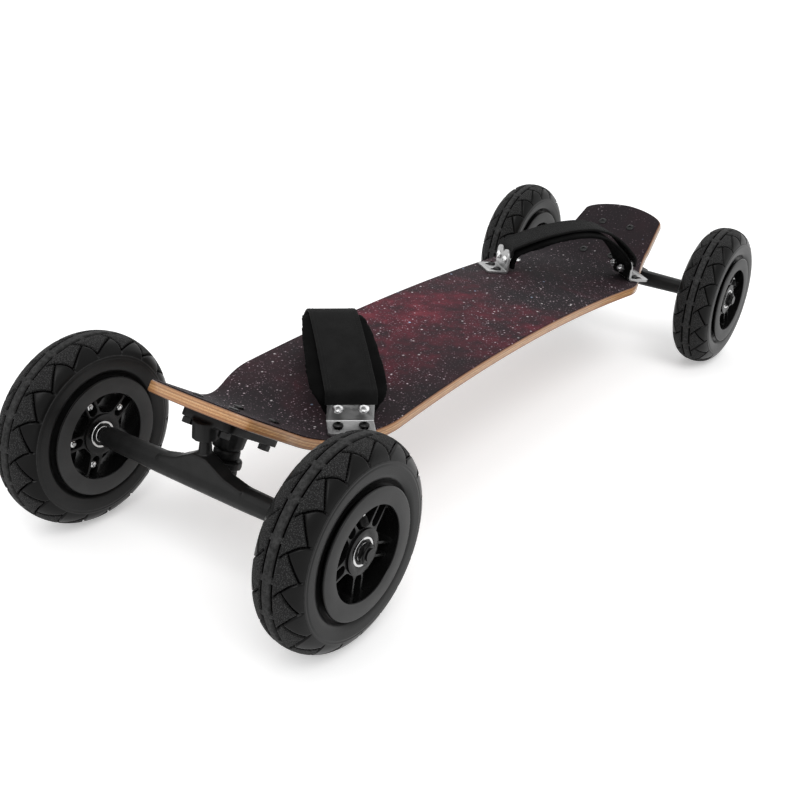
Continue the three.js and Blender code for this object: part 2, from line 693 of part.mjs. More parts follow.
function valveFrame() {
  const root = tubeCentre - TUBE_RADIUS * valveRootShare;
  const start = new THREE.Vector3(root, 0, VALVE_SIDE);
  const up = new THREE.Vector3(-Math.cos(VALVE_LEAN), 0, Math.sin(VALVE_LEAN));
  const side = new THREE.Vector3(0, 1, 0);
  const front = new THREE.Vector3().crossVectors(side, up);
  return new THREE.Matrix4().makeBasis(front, side, up).setPosition(start);
}

function innerTubeGeometry() {
  const ring = (radius) => new THREE.TorusGeometry(tubeCentre, radius, TUBE_SIDES, TUBE_SEGMENTS);
  let tube = solid(ring(TUBE_RADIUS)).subtract(solid(ring(TUBE_RADIUS - TUBE_WALL)));
  const frame = valveFrame();
  const way = bar(VALVE_BORE, -TUBE_WALL * 3, VALVE_LENGTH + CUT_OVERRUN, 6);
  tube = tube.add(place(solid(bar(VALVE_RADIUS, 0, VALVE_LENGTH, 8)), frame));
  return geometryOf(tube.subtract(place(solid(way), frame)));
}

// One pocket between two spokes. Its corners' shares of the rounding: how far the inner
// end draws in, and where the outer corner's middle lies, radially and across.
const pocketRoundShares = [0.3, 0.2, 0.6];

function pocketShape() {
  const hole = new THREE.Path();
  const inner = HUB_RADIUS;
  const outer = RIM_OPENING_RADIUS;
  const pitch = Math.PI / SPOKES;
  const edge = (r, round) => pitch - (SPOKE_HALF_WIDTH + round) / r;
  const [innerRound, cornerIn, cornerRound] = pocketRoundShares;
  const side = [[inner, POCKET_ROUND * innerRound], [outer - POCKET_ROUND, 0],
    [outer - POCKET_ROUND * cornerIn, POCKET_ROUND * cornerRound]];
  const points = side.map(([r, round]) => [r, edge(r, round)]);
  const all = [...points, [outer, 0], ...points.slice().reverse().map(([r, a]) => [r, -a])];
  all.forEach(([r, a], i) => {
    const x = r * Math.cos(a);
    const y = r * Math.sin(a);
    if (i === 0) hole.moveTo(x, y);
    else hole.lineTo(x, y);
  });
  hole.closePath();
  return hole;
}

function rimHalfGeometry(withValveHole) {
  const split = SEAT_GAP / 2;
  const bedMouth = RIM_FACE - RIM_LIP;
  const barrel = turned([
    [RIM_OPENING_RADIUS + RIM_DRAFT, split], [RIM_BED_RADIUS, split], [RIM_BED_RADIUS, bedMouth],
    [RIM_OUTER_RADIUS, bedMouth], [RIM_OUTER_RADIUS, RIM_FACE], [RIM_OPENING_RADIUS, RIM_FACE],
  ], RIM_SEGMENTS);
  const disc = bar(RIM_BED_RADIUS - RIM_LIP / 2, split, SPOKE_FACE, RIM_SEGMENTS);
  const hub = bar(HUB_RADIUS + RIM_LIP / 2, split, HUB_FACE, 2 * SPOKES, HUB_RADIUS);
  let half = solid(disc).add(solid(hub));
  const pocket = new THREE.Shape(pocketShape().getPoints());
  const channelEnds = [HUB_RADIUS + SPOKE_RIB, RIM_OPENING_RADIUS - SPOKE_RIB];
  for (let i = 0; i < SPOKES; i += 1) {
    const turn = (2 * Math.PI * i) / SPOKES;
    const cut = extruded(pocket, RIM_FACE, 1).rotateZ(turn + Math.PI / SPOKES);
    half = half.subtract(solid(cut));
    const across = 2 * (SPOKE_HALF_WIDTH - SPOKE_RIB);
    const channel = new THREE.BoxGeometry(channelEnds[1] - channelEnds[0], across, SPOKE_FACE);
    channel.translate((channelEnds[0] + channelEnds[1]) / 2, 0, SPOKE_FLOOR + SPOKE_FACE / 2);
    half = half.subtract(solid(channel.rotateZ(turn)));
  }
  half = half.add(solid(barrel));
  const seat = bore(BEARING_RADIUS, HUB_FACE - BEARING_WIDTH - SEAT_GAP,
    HUB_FACE + CUT_OVERRUN, 12);
  half = half.subtract(solid(seat));
  const way = bore(SPACER_RADIUS, -CUT_OVERRUN, HUB_FACE, 10);
  half = half.subtract(solid(way));
  if (withValveHole) {
    const hole = bore(VALVE_RADIUS, -CUT_OVERRUN, VALVE_LENGTH, 8);
    const angle = Math.PI / SPOKES;
    const turnHole = new THREE.Matrix4().makeRotationZ(angle).multiply(valveFrame());
    half = half.subtract(place(solid(hole), turnHole));
  }
  return geometryOf(half);
}

// Two ball bearings with the spacer between them
function bearingSetGeometry() {
  const eye = AXLE_RADIUS + SEAT_GAP;
  const face = HUB_FACE;
  const inner = HUB_FACE - BEARING_WIDTH;
  const profile = [[eye, -face], [BEARING_RADIUS, -face], [BEARING_RADIUS, -inner],
    [SPACER_RADIUS, -inner], [SPACER_RADIUS, inner], [BEARING_RADIUS, inner],
    [BEARING_RADIUS, face], [eye, face]];
  return turned(profile, 12);
}

function axleNutGeometry() {
  const nut = solid(bar(AXLE_NUT_RADIUS, nutFace, nutFace + AXLE_NUT, 6));
  const eye = bore(AXLE_RADIUS, nutFace - CUT_OVERRUN, nutFace + 2 * AXLE_NUT, 10);
  return geometryOf(nut.subtract(solid(eye)));
}

// Where the first spoke of each wheel stands, as shares of a full turn
const spokePhaseShares = { rear_left: 0.1, rear_right: 0.138, front_left: 0.05, front_right: 0.02 };

function wheel(end, side) {
  const name = `${end > 0 ? 'front' : 'rear'}_${side > 0 ? 'left' : 'right'}`;
  const group = new THREE.Group();
  group.position.set(end * AXLE_X, (side * TRACK) / 2, TYRE_RADIUS);
  group.rotation.x = (-side * Math.PI) / 2;
  const phase = spokePhaseShares[name] * 2 * Math.PI;
  const add = (part, geometry, finish, turn = 0) => {
    const mesh = named(`${name}_${part}`, geometry, finish);
    mesh.rotation.z = turn;
    group.add(mesh);
  };
  add('tyre', tyreGeometry(), finishes.tyre);
  add('inner_tube', innerTubeGeometry(), finishes.urethane, phase + Math.PI / SPOKES);
  add('hub_outer_half', rimHalfGeometry(true), finishes.hub, phase);
  const inner = rimHalfGeometry(false).rotateX(Math.PI);
  add('hub_inner_half', inner, finishes.hub, phase);
  add('wheel_bearings', bearingSetGeometry(), finishes.steel);
  add('axle_nut', axleNutGeometry(), finishes.darkSteel);
  return group;
}

// Bindings

const EAR_X = EAR_SPACING / 2;
const BRACKET_HALF = EAR_X + EAR_RADIUS;

function bracketGeometry() {
  const earTop = BRACKET_HEIGHT - EAR_RADIUS;
  const outline = new THREE.Shape();
  outline.moveTo(-BRACKET_HALF, 0);
  outline.lineTo(BRACKET_HALF, 0);
  outline.absarc(EAR_X, earTop, EAR_RADIUS, 0, EAR_SWEEP);
  outline.lineTo(0, BRACKET_HEIGHT - BRACKET_NOTCH * 2);
  outline.absarc(-EAR_X, earTop, EAR_RADIUS, Math.PI - EAR_SWEEP, Math.PI);
  const upright = extruded(outline, BRACKET_THICKNESS, 3).rotateX(Math.PI / 2);
  const foot = new THREE.Shape();
  foot.moveTo(-BRACKET_HALF, -BRACKET_THICKNESS);
  foot.lineTo(BRACKET_HALF, -BRACKET_THICKNESS);
  foot.lineTo(BRACKET_HALF, BRACKET_FOOT - FOOT_CORNER);
  foot.lineTo(BRACKET_HALF - FOOT_CORNER, BRACKET_FOOT);
  foot.lineTo(FOOT_CORNER - BRACKET_HALF, BRACKET_FOOT);
  foot.lineTo(-BRACKET_HALF, BRACKET_FOOT - FOOT_CORNER);
  let bracket = solid(upright).add(solid(extruded(foot, BRACKET_THICKNESS)));
  [-EAR_X, EAR_X].forEach((x) => {
    const bolt = bar(STRAP_HOLE_RADIUS, -BRACKET_FOOT, BRACKET_FOOT, 8).rotateX(Math.PI / 2);
    bracket = bracket.subtract(solid(bolt.translate(x, 0, BRACKET_BOLT_HEIGHT)));
    const slot = extruded(slotShape(), BRACKET_FOOT, 2).translate(x, 0, -BRACKET_THICKNESS);
    bracket = bracket.subtract(solid(slot));
  });
  return geometryOf(bracket);
}

function slotShape() {
  const slot = new THREE.Shape();
  slot.absarc(0, SLOT_END - SLOT_RADIUS, SLOT_RADIUS, 0, Math.PI);
  slot.absarc(0, SLOT_START + SLOT_RADIUS, SLOT_RADIUS, Math.PI, 2 * Math.PI);
  return slot;
}

// A bracket's frame: width along X, outward along Y, up along Z. Its foot lies along the
// deck's mean slope under it, lifted clear of the deck's curve.
function bracketFrame(spec, side) {
  const reachIn = CAMBER_HALF - BRACKET_TO_BEND - (side > 0 ? 0 : BINDING_REACH);
  const x = spec.turn * reachIn;
  const y = side > 0 ? RIGHT_EDGE_GAP - DECK_STANCE_HALF : DECK_STANCE_HALF - LEFT_EDGE_GAP;
  const out = new THREE.Vector2(Math.cos(FACING) * spec.turn, -Math.sin(FACING));
  out.multiplyScalar(side);
  const spread = BRACKET_HALF * Math.abs(out.y);
  const back = -BRACKET_THICKNESS * Math.abs(out.x) - spread;
  const front = BRACKET_FOOT * Math.abs(out.x) + spread;
  const [start, end] = [back, front].map((reach) => x + Math.sign(out.x) * reach);
  const slope = (deckHeight(end) - deckHeight(start)) / (end - start);
  const rises = [0, 0.25, 0.5, 0.75, 1].map((share) => {
    const at = THREE.MathUtils.lerp(start, end, share);
    return deckHeight(at) - slope * (at - x);
  });
  const floor = Math.max(...rises) + GRIP_THICKNESS + 2 * SEAT_GAP;
  const turn = Math.atan2(out.y, out.x) - Math.PI / 2;
  return new THREE.Matrix4().makeTranslation(x, y, floor)
    .multiply(new THREE.Matrix4().makeRotationY(-Math.atan(slope)))
    .multiply(new THREE.Matrix4().makeRotationZ(turn));
}

function binding(spec) {
  const group = new THREE.Group();
  const frames = [bracketFrame(spec, -1), bracketFrame(spec, 1)];
  ['left', 'right'].forEach((side, i) => {
    const geometry = bracketGeometry().applyMatrix4(frames[i]);
    group.add(named(`${spec.name}_${side}_bracket`, geometry, finishes.bracket));
  });
  const strap = strapGeometry(spec, frames);
  group.add(named(`${spec.name}_strap`, strap, finishes.strap));
  group.add(named(`${spec.name}_pad`, padGeometry(spec, frames), finishes.strap));
  return group;
}

// How high the arch stands at a share of its way, as a share of its crest
function archShare(spec, share) {
  const [leftPower, rightPower] = spec.powers;
  if (share < spec.crestAt) return 1 - (1 - share / spec.crestAt) ** leftPower;
  return 1 - ((share - spec.crestAt) / (1 - spec.crestAt)) ** rightPower;
}

// A band up the left bracket, over the arch and down the right bracket. Its legs are
// [share, height] pairs: shares under 0 and over 1 lie on the brackets.
function archBand(spec, frames, { offsets, legs, spring, crest, widthAt, thickness, edge }) {
  const on = (i, height) =>
    new THREE.Vector3(0, offsets[i], height).applyMatrix4(frames[i]);
  const sides = frames.map((frame, i) =>
    new THREE.Vector3().setFromMatrixColumn(frame, 0).multiplyScalar(i === 0 ? -1 : 1));
  const starts = [on(0, spring), on(1, spring)];
  const arch = (share) => {
    const along = (1 - Math.cos(share * Math.PI)) / 2;
    const point = starts[0].clone().lerp(starts[1], along);
    point.z += (crest - spring) * archShare(spec, along);
    return point;
  };
  const rings = [];
  const push = (point, ahead, share) => {
    const blend = THREE.MathUtils.clamp(share, 0, 1);
    const side = sides[0].clone().lerp(sides[1], blend).normalize();
    const up = new THREE.Vector3().crossVectors(side, ahead).normalize();
    const half = widthAt(share) / 2;
    const at = (w, t) => point.clone().addScaledVector(side, w)
      .addScaledVector(up, (t * thickness) / 2);
    rings.push(edge
      ? [at(edge - half, 1), at(half - edge, 1), at(half, 0),
        at(half - edge, -1), at(edge - half, -1), at(-half, 0)]
      : [at(-half, 1), at(half, 1), at(half, -1), at(-half, -1)]);
  };
  const climb = [0, 1].map((i) => on(i, spring).sub(on(i, 0)));
  legs.forEach(([share, height]) => push(on(0, height), climb[0], -share));
  for (let i = 0; i <= ARCH_STEPS; i += 1) {
    const share = i / ARCH_STEPS;
    const step = 1 / (2 * ARCH_STEPS);
    const ahead = arch(Math.min(share + step, 1)).sub(arch(Math.max(share - step, 0)));
    if (i === 0) ahead.normalize().add(climb[0].clone().normalize());
    if (i === ARCH_STEPS) ahead.normalize().sub(climb[1].clone().normalize());
    push(arch(share), ahead, share);
  }
  legs.slice().reverse().forEach(([share, height]) =>
    push(on(1, height), climb[1].clone().negate(), 1 + share));
  return lofted(rings);
}

function strapGeometry(spec, frames) {
  const inside = -SEAT_GAP - STRAP_THICKNESS / 2 - BRACKET_THICKNESS;
  const outside = SEAT_GAP + STRAP_THICKNESS / 2;
  return archBand(spec, frames, {
    offsets: [inside, outside],
    legs: [[0.1, STRAP_FOOT]],
    spring: BRACKET_HEIGHT + STRAP_THICKNESS,
    crest: spec.crest - STRAP_THICKNESS / 2,
    widthAt: () => STRAP_WIDTH,
    thickness: STRAP_THICKNESS,
    edge: 0,
  });
}

// The pad's legs as [share, height over the spring's height], and how far its width has
// swollen at shares of its way
const padLegs = [[0.3, 0.15], [0.2, 0.4], [0.1, 0.7]];
const padSwell = [[-0.3, -0.35], [-0.1, -0.05], [0, 0], [0.2, 0.15], [0.36, 0.55], [0.5, 0.85],
  [0.7, 1], [0.82, 0.9], [0.95, 0.6], [1, 0.45], [1.1, 0.25], [1.2, 0], [1.3, -0.35]];

function padWidthAt(share) {
  const after = padSwell.findIndex(([place]) => place >= share);
  if (after <= 0) return PAD_WIDTH + PAD_SWELL * padSwell[0][1];
  const [[from, low], [to, high]] = [padSwell[after - 1], padSwell[after]];
  return PAD_WIDTH + PAD_SWELL * THREE.MathUtils.mapLinear(share, from, to, low, high);
}

function padGeometry(spec, frames) {
  const inner = -SEAT_GAP - PAD_THICKNESS / 2 - BRACKET_THICKNESS;
  const underStrap = inner - STRAP_THICKNESS - SEAT_GAP;
  const drop = STRAP_THICKNESS + PAD_GAP + PAD_THICKNESS / 2;
  return archBand(spec, frames, {
    offsets: [underStrap, inner],
    legs: padLegs.map(([share, height]) => [share, height * PAD_SPRING]),
    spring: PAD_SPRING,
    crest: spec.crest - drop,
    widthAt: padWidthAt,
    thickness: PAD_THICKNESS,
    edge: PAD_EDGE,
  });
}

// The whole board

function drilledSheet(low, high, inset) {
  let sheet = solid(deckSheet(low, high, inset));
  [1, -1].forEach((end) => {
    boltPlaces().forEach(([s, y]) => {
      const hole = bore(BOLT_RADIUS, -DECK_THICKNESS * 2, DECK_THICKNESS, 6);
      hole.translate(s, y, 0).applyMatrix4(truckMatrix(end));
      sheet = sheet.subtract(solid(hole));
    });
  });
  return geometryOf(sheet);
}

const board = new THREE.Group();
const gripLow = SEAT_GAP;
board.add(named('deck', drilledSheet(-DECK_THICKNESS, 0, 0), finishes.wood));
board.add(named('grip_sheet', drilledSheet(gripLow, gripLow + GRIP_THICKNESS, GRIP_INSET),
  finishes.grip));
[-1, 1].forEach((end) => {
  board.add(truck(end));
  [1, -1].forEach((side) => board.add(wheel(end, side)));
});
bindings.forEach((spec) => board.add(binding(spec)));

export default board;
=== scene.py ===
"""A mountainboard in a pale studio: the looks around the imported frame.

Metres, in the frame's own axes: +X to the front tip, +Y to the left, +Z up.
"""

import json
import math

import bmesh
import bpy
import numpy as np
from mathutils import Matrix, Vector
from mathutils.kdtree import KDTree

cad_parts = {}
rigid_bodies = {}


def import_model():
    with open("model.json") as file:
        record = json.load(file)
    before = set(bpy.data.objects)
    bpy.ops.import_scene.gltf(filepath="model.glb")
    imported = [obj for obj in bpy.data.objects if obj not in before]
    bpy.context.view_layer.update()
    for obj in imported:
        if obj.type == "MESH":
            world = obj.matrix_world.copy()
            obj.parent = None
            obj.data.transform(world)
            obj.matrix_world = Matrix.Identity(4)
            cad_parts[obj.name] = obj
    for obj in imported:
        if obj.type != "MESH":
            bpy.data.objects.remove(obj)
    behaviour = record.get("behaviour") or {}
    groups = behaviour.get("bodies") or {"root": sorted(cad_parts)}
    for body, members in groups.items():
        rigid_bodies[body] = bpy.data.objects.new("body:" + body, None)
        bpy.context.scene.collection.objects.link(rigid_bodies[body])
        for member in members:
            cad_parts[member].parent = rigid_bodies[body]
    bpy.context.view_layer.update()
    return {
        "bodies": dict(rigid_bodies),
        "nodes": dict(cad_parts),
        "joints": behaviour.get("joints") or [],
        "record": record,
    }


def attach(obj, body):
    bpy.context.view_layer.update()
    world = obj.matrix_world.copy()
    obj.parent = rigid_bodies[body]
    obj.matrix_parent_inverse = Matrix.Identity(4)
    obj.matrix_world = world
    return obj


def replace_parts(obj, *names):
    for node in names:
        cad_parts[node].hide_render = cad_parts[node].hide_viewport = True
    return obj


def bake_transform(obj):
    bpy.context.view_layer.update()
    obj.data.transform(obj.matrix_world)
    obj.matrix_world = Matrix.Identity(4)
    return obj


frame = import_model()
MM = 0.001

# Sizes that the pieces here share with the frame
TYRE_RADIUS = 0.1
TRACK_HALF = 0.1616
AXLE_X = 0.44835
DECK_TOP = 0.1487
CAMBER_DROP = 0.016
CAMBER_HALF = 0.3289
BEND_LENGTH = 0.0641
KICK_ANGLE = math.radians(31.3)
KICK_SLOPE = math.tan(KICK_ANGLE)
DECK_HALF_LENGTH = 0.4712
DECK_THICKNESS = 0.011
DECK_WAIST_HALF = 0.0983
DECK_STANCE_HALF = 0.1018
DECK_STANCE_X = 0.2795
TIP_START_X = 0.4059
TIP_START_HALF = 0.0674
TIP_END_HALF = 0.0615
TIP_CROWN = 0.019
CROWN_START = DECK_HALF_LENGTH - TIP_CROWN
GRIP_LOW = 0.0003
GRIP_HIGH = 0.0011
GRIP_INSET = 0.001
GAP = 0.0003
ENDS = {"front": 1, "rear": -1}
SIDES = {"left": 1, "right": -1}


# Mesh helpers


def linked(name, data):
    obj = bpy.data.objects.new(name, data)
    bpy.context.scene.collection.objects.link(obj)
    return obj


def smooth(obj, angle):
    obj.data.polygons.foreach_set("use_smooth", [True] * len(obj.data.polygons))
    obj.data.set_sharp_from_angle(angle=math.radians(angle))


def new_object(name, verts, faces, materials, smooth_angle=40):
    mesh = bpy.data.meshes.new(name)
    mesh.from_pydata([tuple(v) for v in verts], [], [tuple(f) for f in faces])
    mesh.validate()
    for material in materials:
        mesh.materials.append(material)
    obj = linked(name, mesh)
    smooth(obj, smooth_angle)
    return obj


def closed_object(name, verts, faces, materials, smooth_angle, merge=False):
    """A closed mesh with its normals outward, and with doubled points merged if asked."""
    obj = new_object(name, verts, faces, materials, smooth_angle)
    mesh = bmesh.new()
    mesh.from_mesh(obj.data)
    if merge:
        bmesh.ops.remove_doubles(mesh, verts=mesh.verts, dist=1e-6)
        bmesh.ops.dissolve_degenerate(mesh, edges=mesh.edges, dist=1e-7)
    bmesh.ops.recalc_face_normals(mesh, faces=mesh.faces)
    mesh.to_mesh(obj.data)
    mesh.free()
    smooth(obj, smooth_angle)
    return obj


def modify(obj, kind, **settings):
    modifier = obj.modifiers.new(kind.title(), kind)
    for key, value in settings.items():
        setattr(modifier, key, value)
    return modifier


def applied(obj):
    """The object, with its modifiers made part of its mesh."""
    graph = bpy.context.evaluated_depsgraph_get()
    mesh = bpy.data.meshes.new_from_object(obj.evaluated_get(graph))
    obj.modifiers.clear()
    obj.data = mesh
    return obj


def bevel(obj, width, segments, angle):
    modify(obj, "BEVEL", width=width, segments=segments, limit_method="ANGLE",
           angle_limit=math.radians(angle))


def ring_faces(count, sides, closed):
    """Quads over `count` rings of `sides` points, closed round when `closed` is true."""
    i = np.arange(count if closed else count - 1)[:, None]
    j = np.arange(sides)[None, :]
    here, ahead = i * sides, (i + 1) % count * sides
    beside = (j + 1) % sides
    return np.stack([here + j, here + beside, ahead + beside, ahead + j], -1).reshape(-1, 4)


def solid_lathe(name, profile, segments, materials=(), smooth_angle=40):
    """A closed profile of (radius, height) turned about Z, with points on the axis merged."""
    turn = np.linspace(0, math.tau, segments, endpoint=False)[:, None]
    r, h = np.array(profile).T
    points = np.stack([r * np.cos(turn), r * np.sin(turn), h + 0 * turn], -1).reshape(-1, 3)
    faces = ring_faces(segments, len(profile), True)
    return closed_object(name, points, faces, materials, smooth_angle, merge=True)


def loft(name, rings, materials, smooth_angle=40):
    """Rings of points joined in order and closed with a face at both ends."""
    count, sides = len(rings), len(rings[0])
    faces = [*ring_faces(count, sides, False), range(sides)[::-1], range((count - 1) * sides, count * sides)]
    return closed_object(name, np.array(rings).reshape(-1, 3), faces, materials, smooth_angle)


def prism(name, outline, low, high, materials=()):
    """A flat outline of (x, y) points raised from low to high along Z."""
    return loft(name, [[(x, y, z) for x, y in outline] for z in (low, high)], materials)


def boolean(obj, others, operation):
    for other in others:
        modify(obj, "BOOLEAN", operation=operation, object=other, solver="MANIFOLD")
    applied(obj)
    for other in others:
        bpy.data.objects.remove(other)


def attribute(mesh, name, values):
    layer = mesh.attributes.new(name, "FLOAT", "POINT")
    layer.data.foreach_set("value", np.asarray(values, np.float32).ravel())


def second_material(obj, chosen):
    """Gives the second material to the upward faces whose middle passes the test."""
    for polygon in obj.data.polygons:
        if polygon.normal.z > 0.9 and chosen(polygon.center):
            polygon.material_index = 1


def joined(objs, name):
    with bpy.context.temp_override(active_object=objs[0], object=objs[0],
                                   selected_objects=objs, selected_editable_objects=objs):
        bpy.ops.object.join()
    objs[0].name = name
    return objs[0]


def taken(obj):
    """The object's mesh, with the object itself removed."""
    mesh = obj.data
    bpy.data.objects.remove(obj)
    return mesh


def placed(name, mesh, matrix, body, slot, *nodes):
    obj = linked(name, mesh)
    obj.matrix_world = matrix
    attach(obj, body)
    if nodes:
        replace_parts(obj, *nodes)


def move(x, y, z):
    return Matrix.Translation((x, y, z))


def spin(angle, axis):
    return Matrix.Rotation(angle, 4, axis)


def to_axis(axis):
    """The turn that takes Z to an axis."""
    return axis.to_track_quat("Z", "Y").to_matrix().to_4x4()


# Outlines


def circle(radius, count=48):
    turns = np.linspace(0, math.tau, count, endpoint=False)
    return [(radius * math.cos(a), radius * math.sin(a)) for a in turns]


def arc_points(x, y, radius, start, end, count=14):
    turns = np.radians(np.linspace(start, end, count))
    return [(x + radius * math.cos(a), y + radius * math.sin(a)) for a in turns]


def slot_outline(x0, x1, half):
    """A slot along X with round ends."""
    return arc_points(x1 - half, 0, half, -90, 90, 9) + arc_points(x0 + half, 0, half, 90, 270, 9)


def turned_outline(points, angle):
    c, s = math.cos(angle), math.sin(angle)
    return [(x * c - y * s, x * s + y * c) for x, y in points]


def with_opposite(half):
    """Half a section, closed with the same half turned about its middle."""
    return half + [(-x, -y) for x, y in half]


def in_mm(points, lift=0.0):
    """Metres from (radius, height) points in millimetres, raised by a lift in metres."""
    return [(r * MM, lift + h * MM) for r, h in points]


# Looks of the deck and of the webbing

# The plies through the deck: a share of its thickness and a colour
PLIES = (
    (0.0, (0.03, 0.014, 0.01)), (0.07, (0.32, 0.13, 0.045)), (0.2, (0.6, 0.32, 0.13)),
    (0.33, (0.34, 0.14, 0.05)), (0.42, (0.74, 0.46, 0.22)), (0.56, (0.46, 0.2, 0.07)),
    (0.66, (0.7, 0.41, 0.18)), (0.8, (0.33, 0.13, 0.045)), (0.92, (0.5, 0.25, 0.1)),
    (1.0, (0.15, 0.06, 0.03)),
)
HAZE = (
    (0.0, (0.017, 0.0135, 0.0155)), (0.15, (0.033, 0.016, 0.02)), (0.4, (0.095, 0.02, 0.03)),
    (0.75, (0.24, 0.045, 0.06)), (1.0, (0.42, 0.13, 0.15)),
)
HAZE_SHIFT = (0.31, 0.77, 0.13)
# Cells to the metre, a speck's size and rarity as shares, its colour and the cells' kind
SPECKS = (
    (420, 0.34, 0.5, (0.17, 0.13, 0.15), "3D"),
    (260, 0.24, 0.5, (0.5, 0.36, 0.42), "3D"),
    (150, 0.19, 0.5, (0.8, 0.66, 0.72), "3D"),
    (70, 0.12, 0.45, (1.0, 0.92, 0.95), "3D"),
    (26, 0.045, 0.84, (0.55, 0.72, 1.0), "2D"),
)
WARP_RIDGES = 32
WEFT_RIDGES = 620


# Material helpers


def add_node(tree, kind, inputs=(), **settings):
    """A node with these settings, each input set to a value or linked to a socket."""
    node = tree.nodes.new(kind)
    for key, value in settings.items():
        setattr(node, key, value)
    for key, value in dict(inputs).items():
        if isinstance(value, bpy.types.NodeSocket):
            tree.links.new(value, node.inputs[key])
        else:
            node.inputs[key].default_value = value
    return node


class Shader:
    """One Principled material and the few nodes that feed it."""

    def __init__(self, name, specular=0.5, roughness=0.5, **constants):
        self.material = bpy.data.materials.new(name)
        self.material.use_nodes = True
        self.tree = self.material.node_tree
        self.bsdf = self.tree.nodes["Principled BSDF"]
        constants.update(Specular_IOR_Level=specular, Roughness=roughness)
        for key, value in constants.items():
            self.bsdf.inputs[key.replace("_", " ")].default_value = value
        self.bumps = None

    def node(self, kind, inputs=(), **settings):
        return add_node(self.tree, kind, inputs, **settings)

    def link(self, source, socket):
        self.tree.links.new(source, self.bsdf.inputs[socket])

    def coords(self, scale=(1, 1, 1)):
        source = self.node("ShaderNodeTexCoord").outputs["Object"]
        return self.node("ShaderNodeMapping", {"Vector": source, "Scale": scale}).outputs["Vector"]

    def attribute(self, name):
        return self.node("ShaderNodeAttribute", attribute_name=name).outputs["Fac"]

    def noise(self, scale, detail, coords=None, roughness=0.5):
        inputs = {"Scale": scale, "Detail": detail, "Roughness": roughness}
        inputs["Vector"] = coords or self.coords()
        return self.node("ShaderNodeTexNoise", inputs).outputs["Fac"]

    def voronoi(self, scale, coords=None, kind="3D"):
        inputs = {"Scale": scale, "Vector": coords or self.coords()}
        return self.node("ShaderNodeTexVoronoi", inputs, voronoi_dimensions=kind).outputs

    def math(self, operation, *values):
        return self.node("ShaderNodeMath", enumerate(values), operation=operation).outputs[0]

    def product(self, first, *others):
        for other in others:
            first = self.math("MULTIPLY", first, other)
        return first

    def ramp(self, source, *stops):
        """Runs through the stops, each a place with a colour or a single value."""
        node = self.node("ShaderNodeValToRGB", {"Fac": source})
        elements = node.color_ramp.elements
        while len(elements) < len(stops):
            elements.new(0.5)
        for element, (place, value) in zip(elements, stops):
            element.position = place
            element.color = (*value, 1) if isinstance(value, tuple) else (value, value, value, 1)
        return node.outputs["Color"]

    def cloud(self, socket, scale, detail, low, high, end=0.7, coords=None):
        """Feeds a socket with a noise that runs from a low value to a high one."""
        noise = self.noise(scale, detail, coords)
        self.link(self.ramp(noise, (0.3, low), (end, high)), socket)

    def mix(self, factor, a, b):
        a, b = ((*color, 1) if isinstance(color, tuple) else color for color in (a, b))
        return self.node("ShaderNodeMix", {0: factor, 6: a, 7: b}, data_type="RGBA").outputs[2]

    def bump(self, height, distance, strength):
        inputs = {"Height": height, "Distance": distance, "Strength": strength}
        if self.bumps is not None:
            inputs["Normal"] = self.bumps
        self.bumps = self.node("ShaderNodeBump", inputs).outputs["Normal"]
        self.link(self.bumps, "Normal")


def grained(name, specular, roughness, shades, bump):
    """A surface clouded between two shades, with a fine bump and a plain or clouded roughness.

    A cloud is a noise's scale and detail with its low and high value. The bump is a noise's
    scale and detail with its distance and strength.
    """
    clouded = isinstance(roughness, tuple)
    shader = Shader(name, specular, 0.5 if clouded else roughness)
    if clouded:
        shader.cloud("Roughness", *roughness)
    shader.cloud("Base Color", *shades)
    scale, detail, distance, strength = bump
    shader.bump(shader.noise(scale, detail), distance, strength)
    return shader.material


def rubber():
    """Knurled rubber with pale grains, plain on the walls, with painted shade making it near-black in and
    beside the grooves.
    """
    shader = Shader("tyre_rubber", 0.2)
    knurl, gloss = shader.attribute("knurl"), shader.attribute("gloss")
    wall = shader.ramp(shader.noise(26, 4), (0.3, 0.006), (0.7, 0.012))
    ribs = shader.ramp(shader.noise(220, 6, roughness=0.8), (0.4, 0.008), (0.62, 0.042))
    cells = shader.voronoi(760)["Distance"]
    dots = shader.ramp(cells, (0.1, 0.062), (0.5, 0.009))
    crown = shader.mix(knurl, shader.mix(gloss, ribs, wall), dots)
    # Painted shade: the groove mask turns the rubber's colour near-black in and beside the grooves
    shader.link(shader.mix(shader.attribute("groove_shade"), crown, (0.001, 0.001, 0.001)), "Base Color")
    shader.link(shader.ramp(gloss, (0, 0.75), (1, 0.36)), "Roughness")
    shader.bump(shader.product(cells, knurl), 0.0012, 1.0)
    shader.bump(shader.noise(900, 2), 0.00015, 0.5)
    return shader.material


def polished_metal(name, tone, roughness):
    shader = Shader(name, Metallic=1.0)
    shader.cloud("Roughness", 90, 3, roughness * 0.85, roughness * 1.2, coords=shader.coords((1, 1, 9)))
    shader.cloud("Base Color", 30, 3, tone * 0.88, tone, 0.65)
    shader.bump(shader.noise(55, 1), 0.0005, 0.08)
    shader.bump(shader.noise(260, 2), 0.00002, 0.2)
    return shader.material


def deck_wood():
    """Clear-coated plies: light and brown stripes through the thickness, grain along them."""
    shader = Shader("deck_plies", roughness=0.35, Coat_Weight=0.4, Coat_Roughness=0.2)
    wave = shader.noise(5, 2, shader.coords((3, 1, 1)))
    place = shader.math("ADD", shader.attribute("ply"), shader.product(wave, 0.05))
    grain = shader.noise(60, 5, shader.coords((1.2, 14, 24)), 0.7)
    dark = shader.ramp(grain, (0.42, 0.0), (0.62, 0.55))
    shader.link(shader.mix(dark, shader.ramp(place, *PLIES), (0.2, 0.085, 0.035)), "Base Color")
    shader.bump(grain, 0.0002, 0.4)
    return shader.material


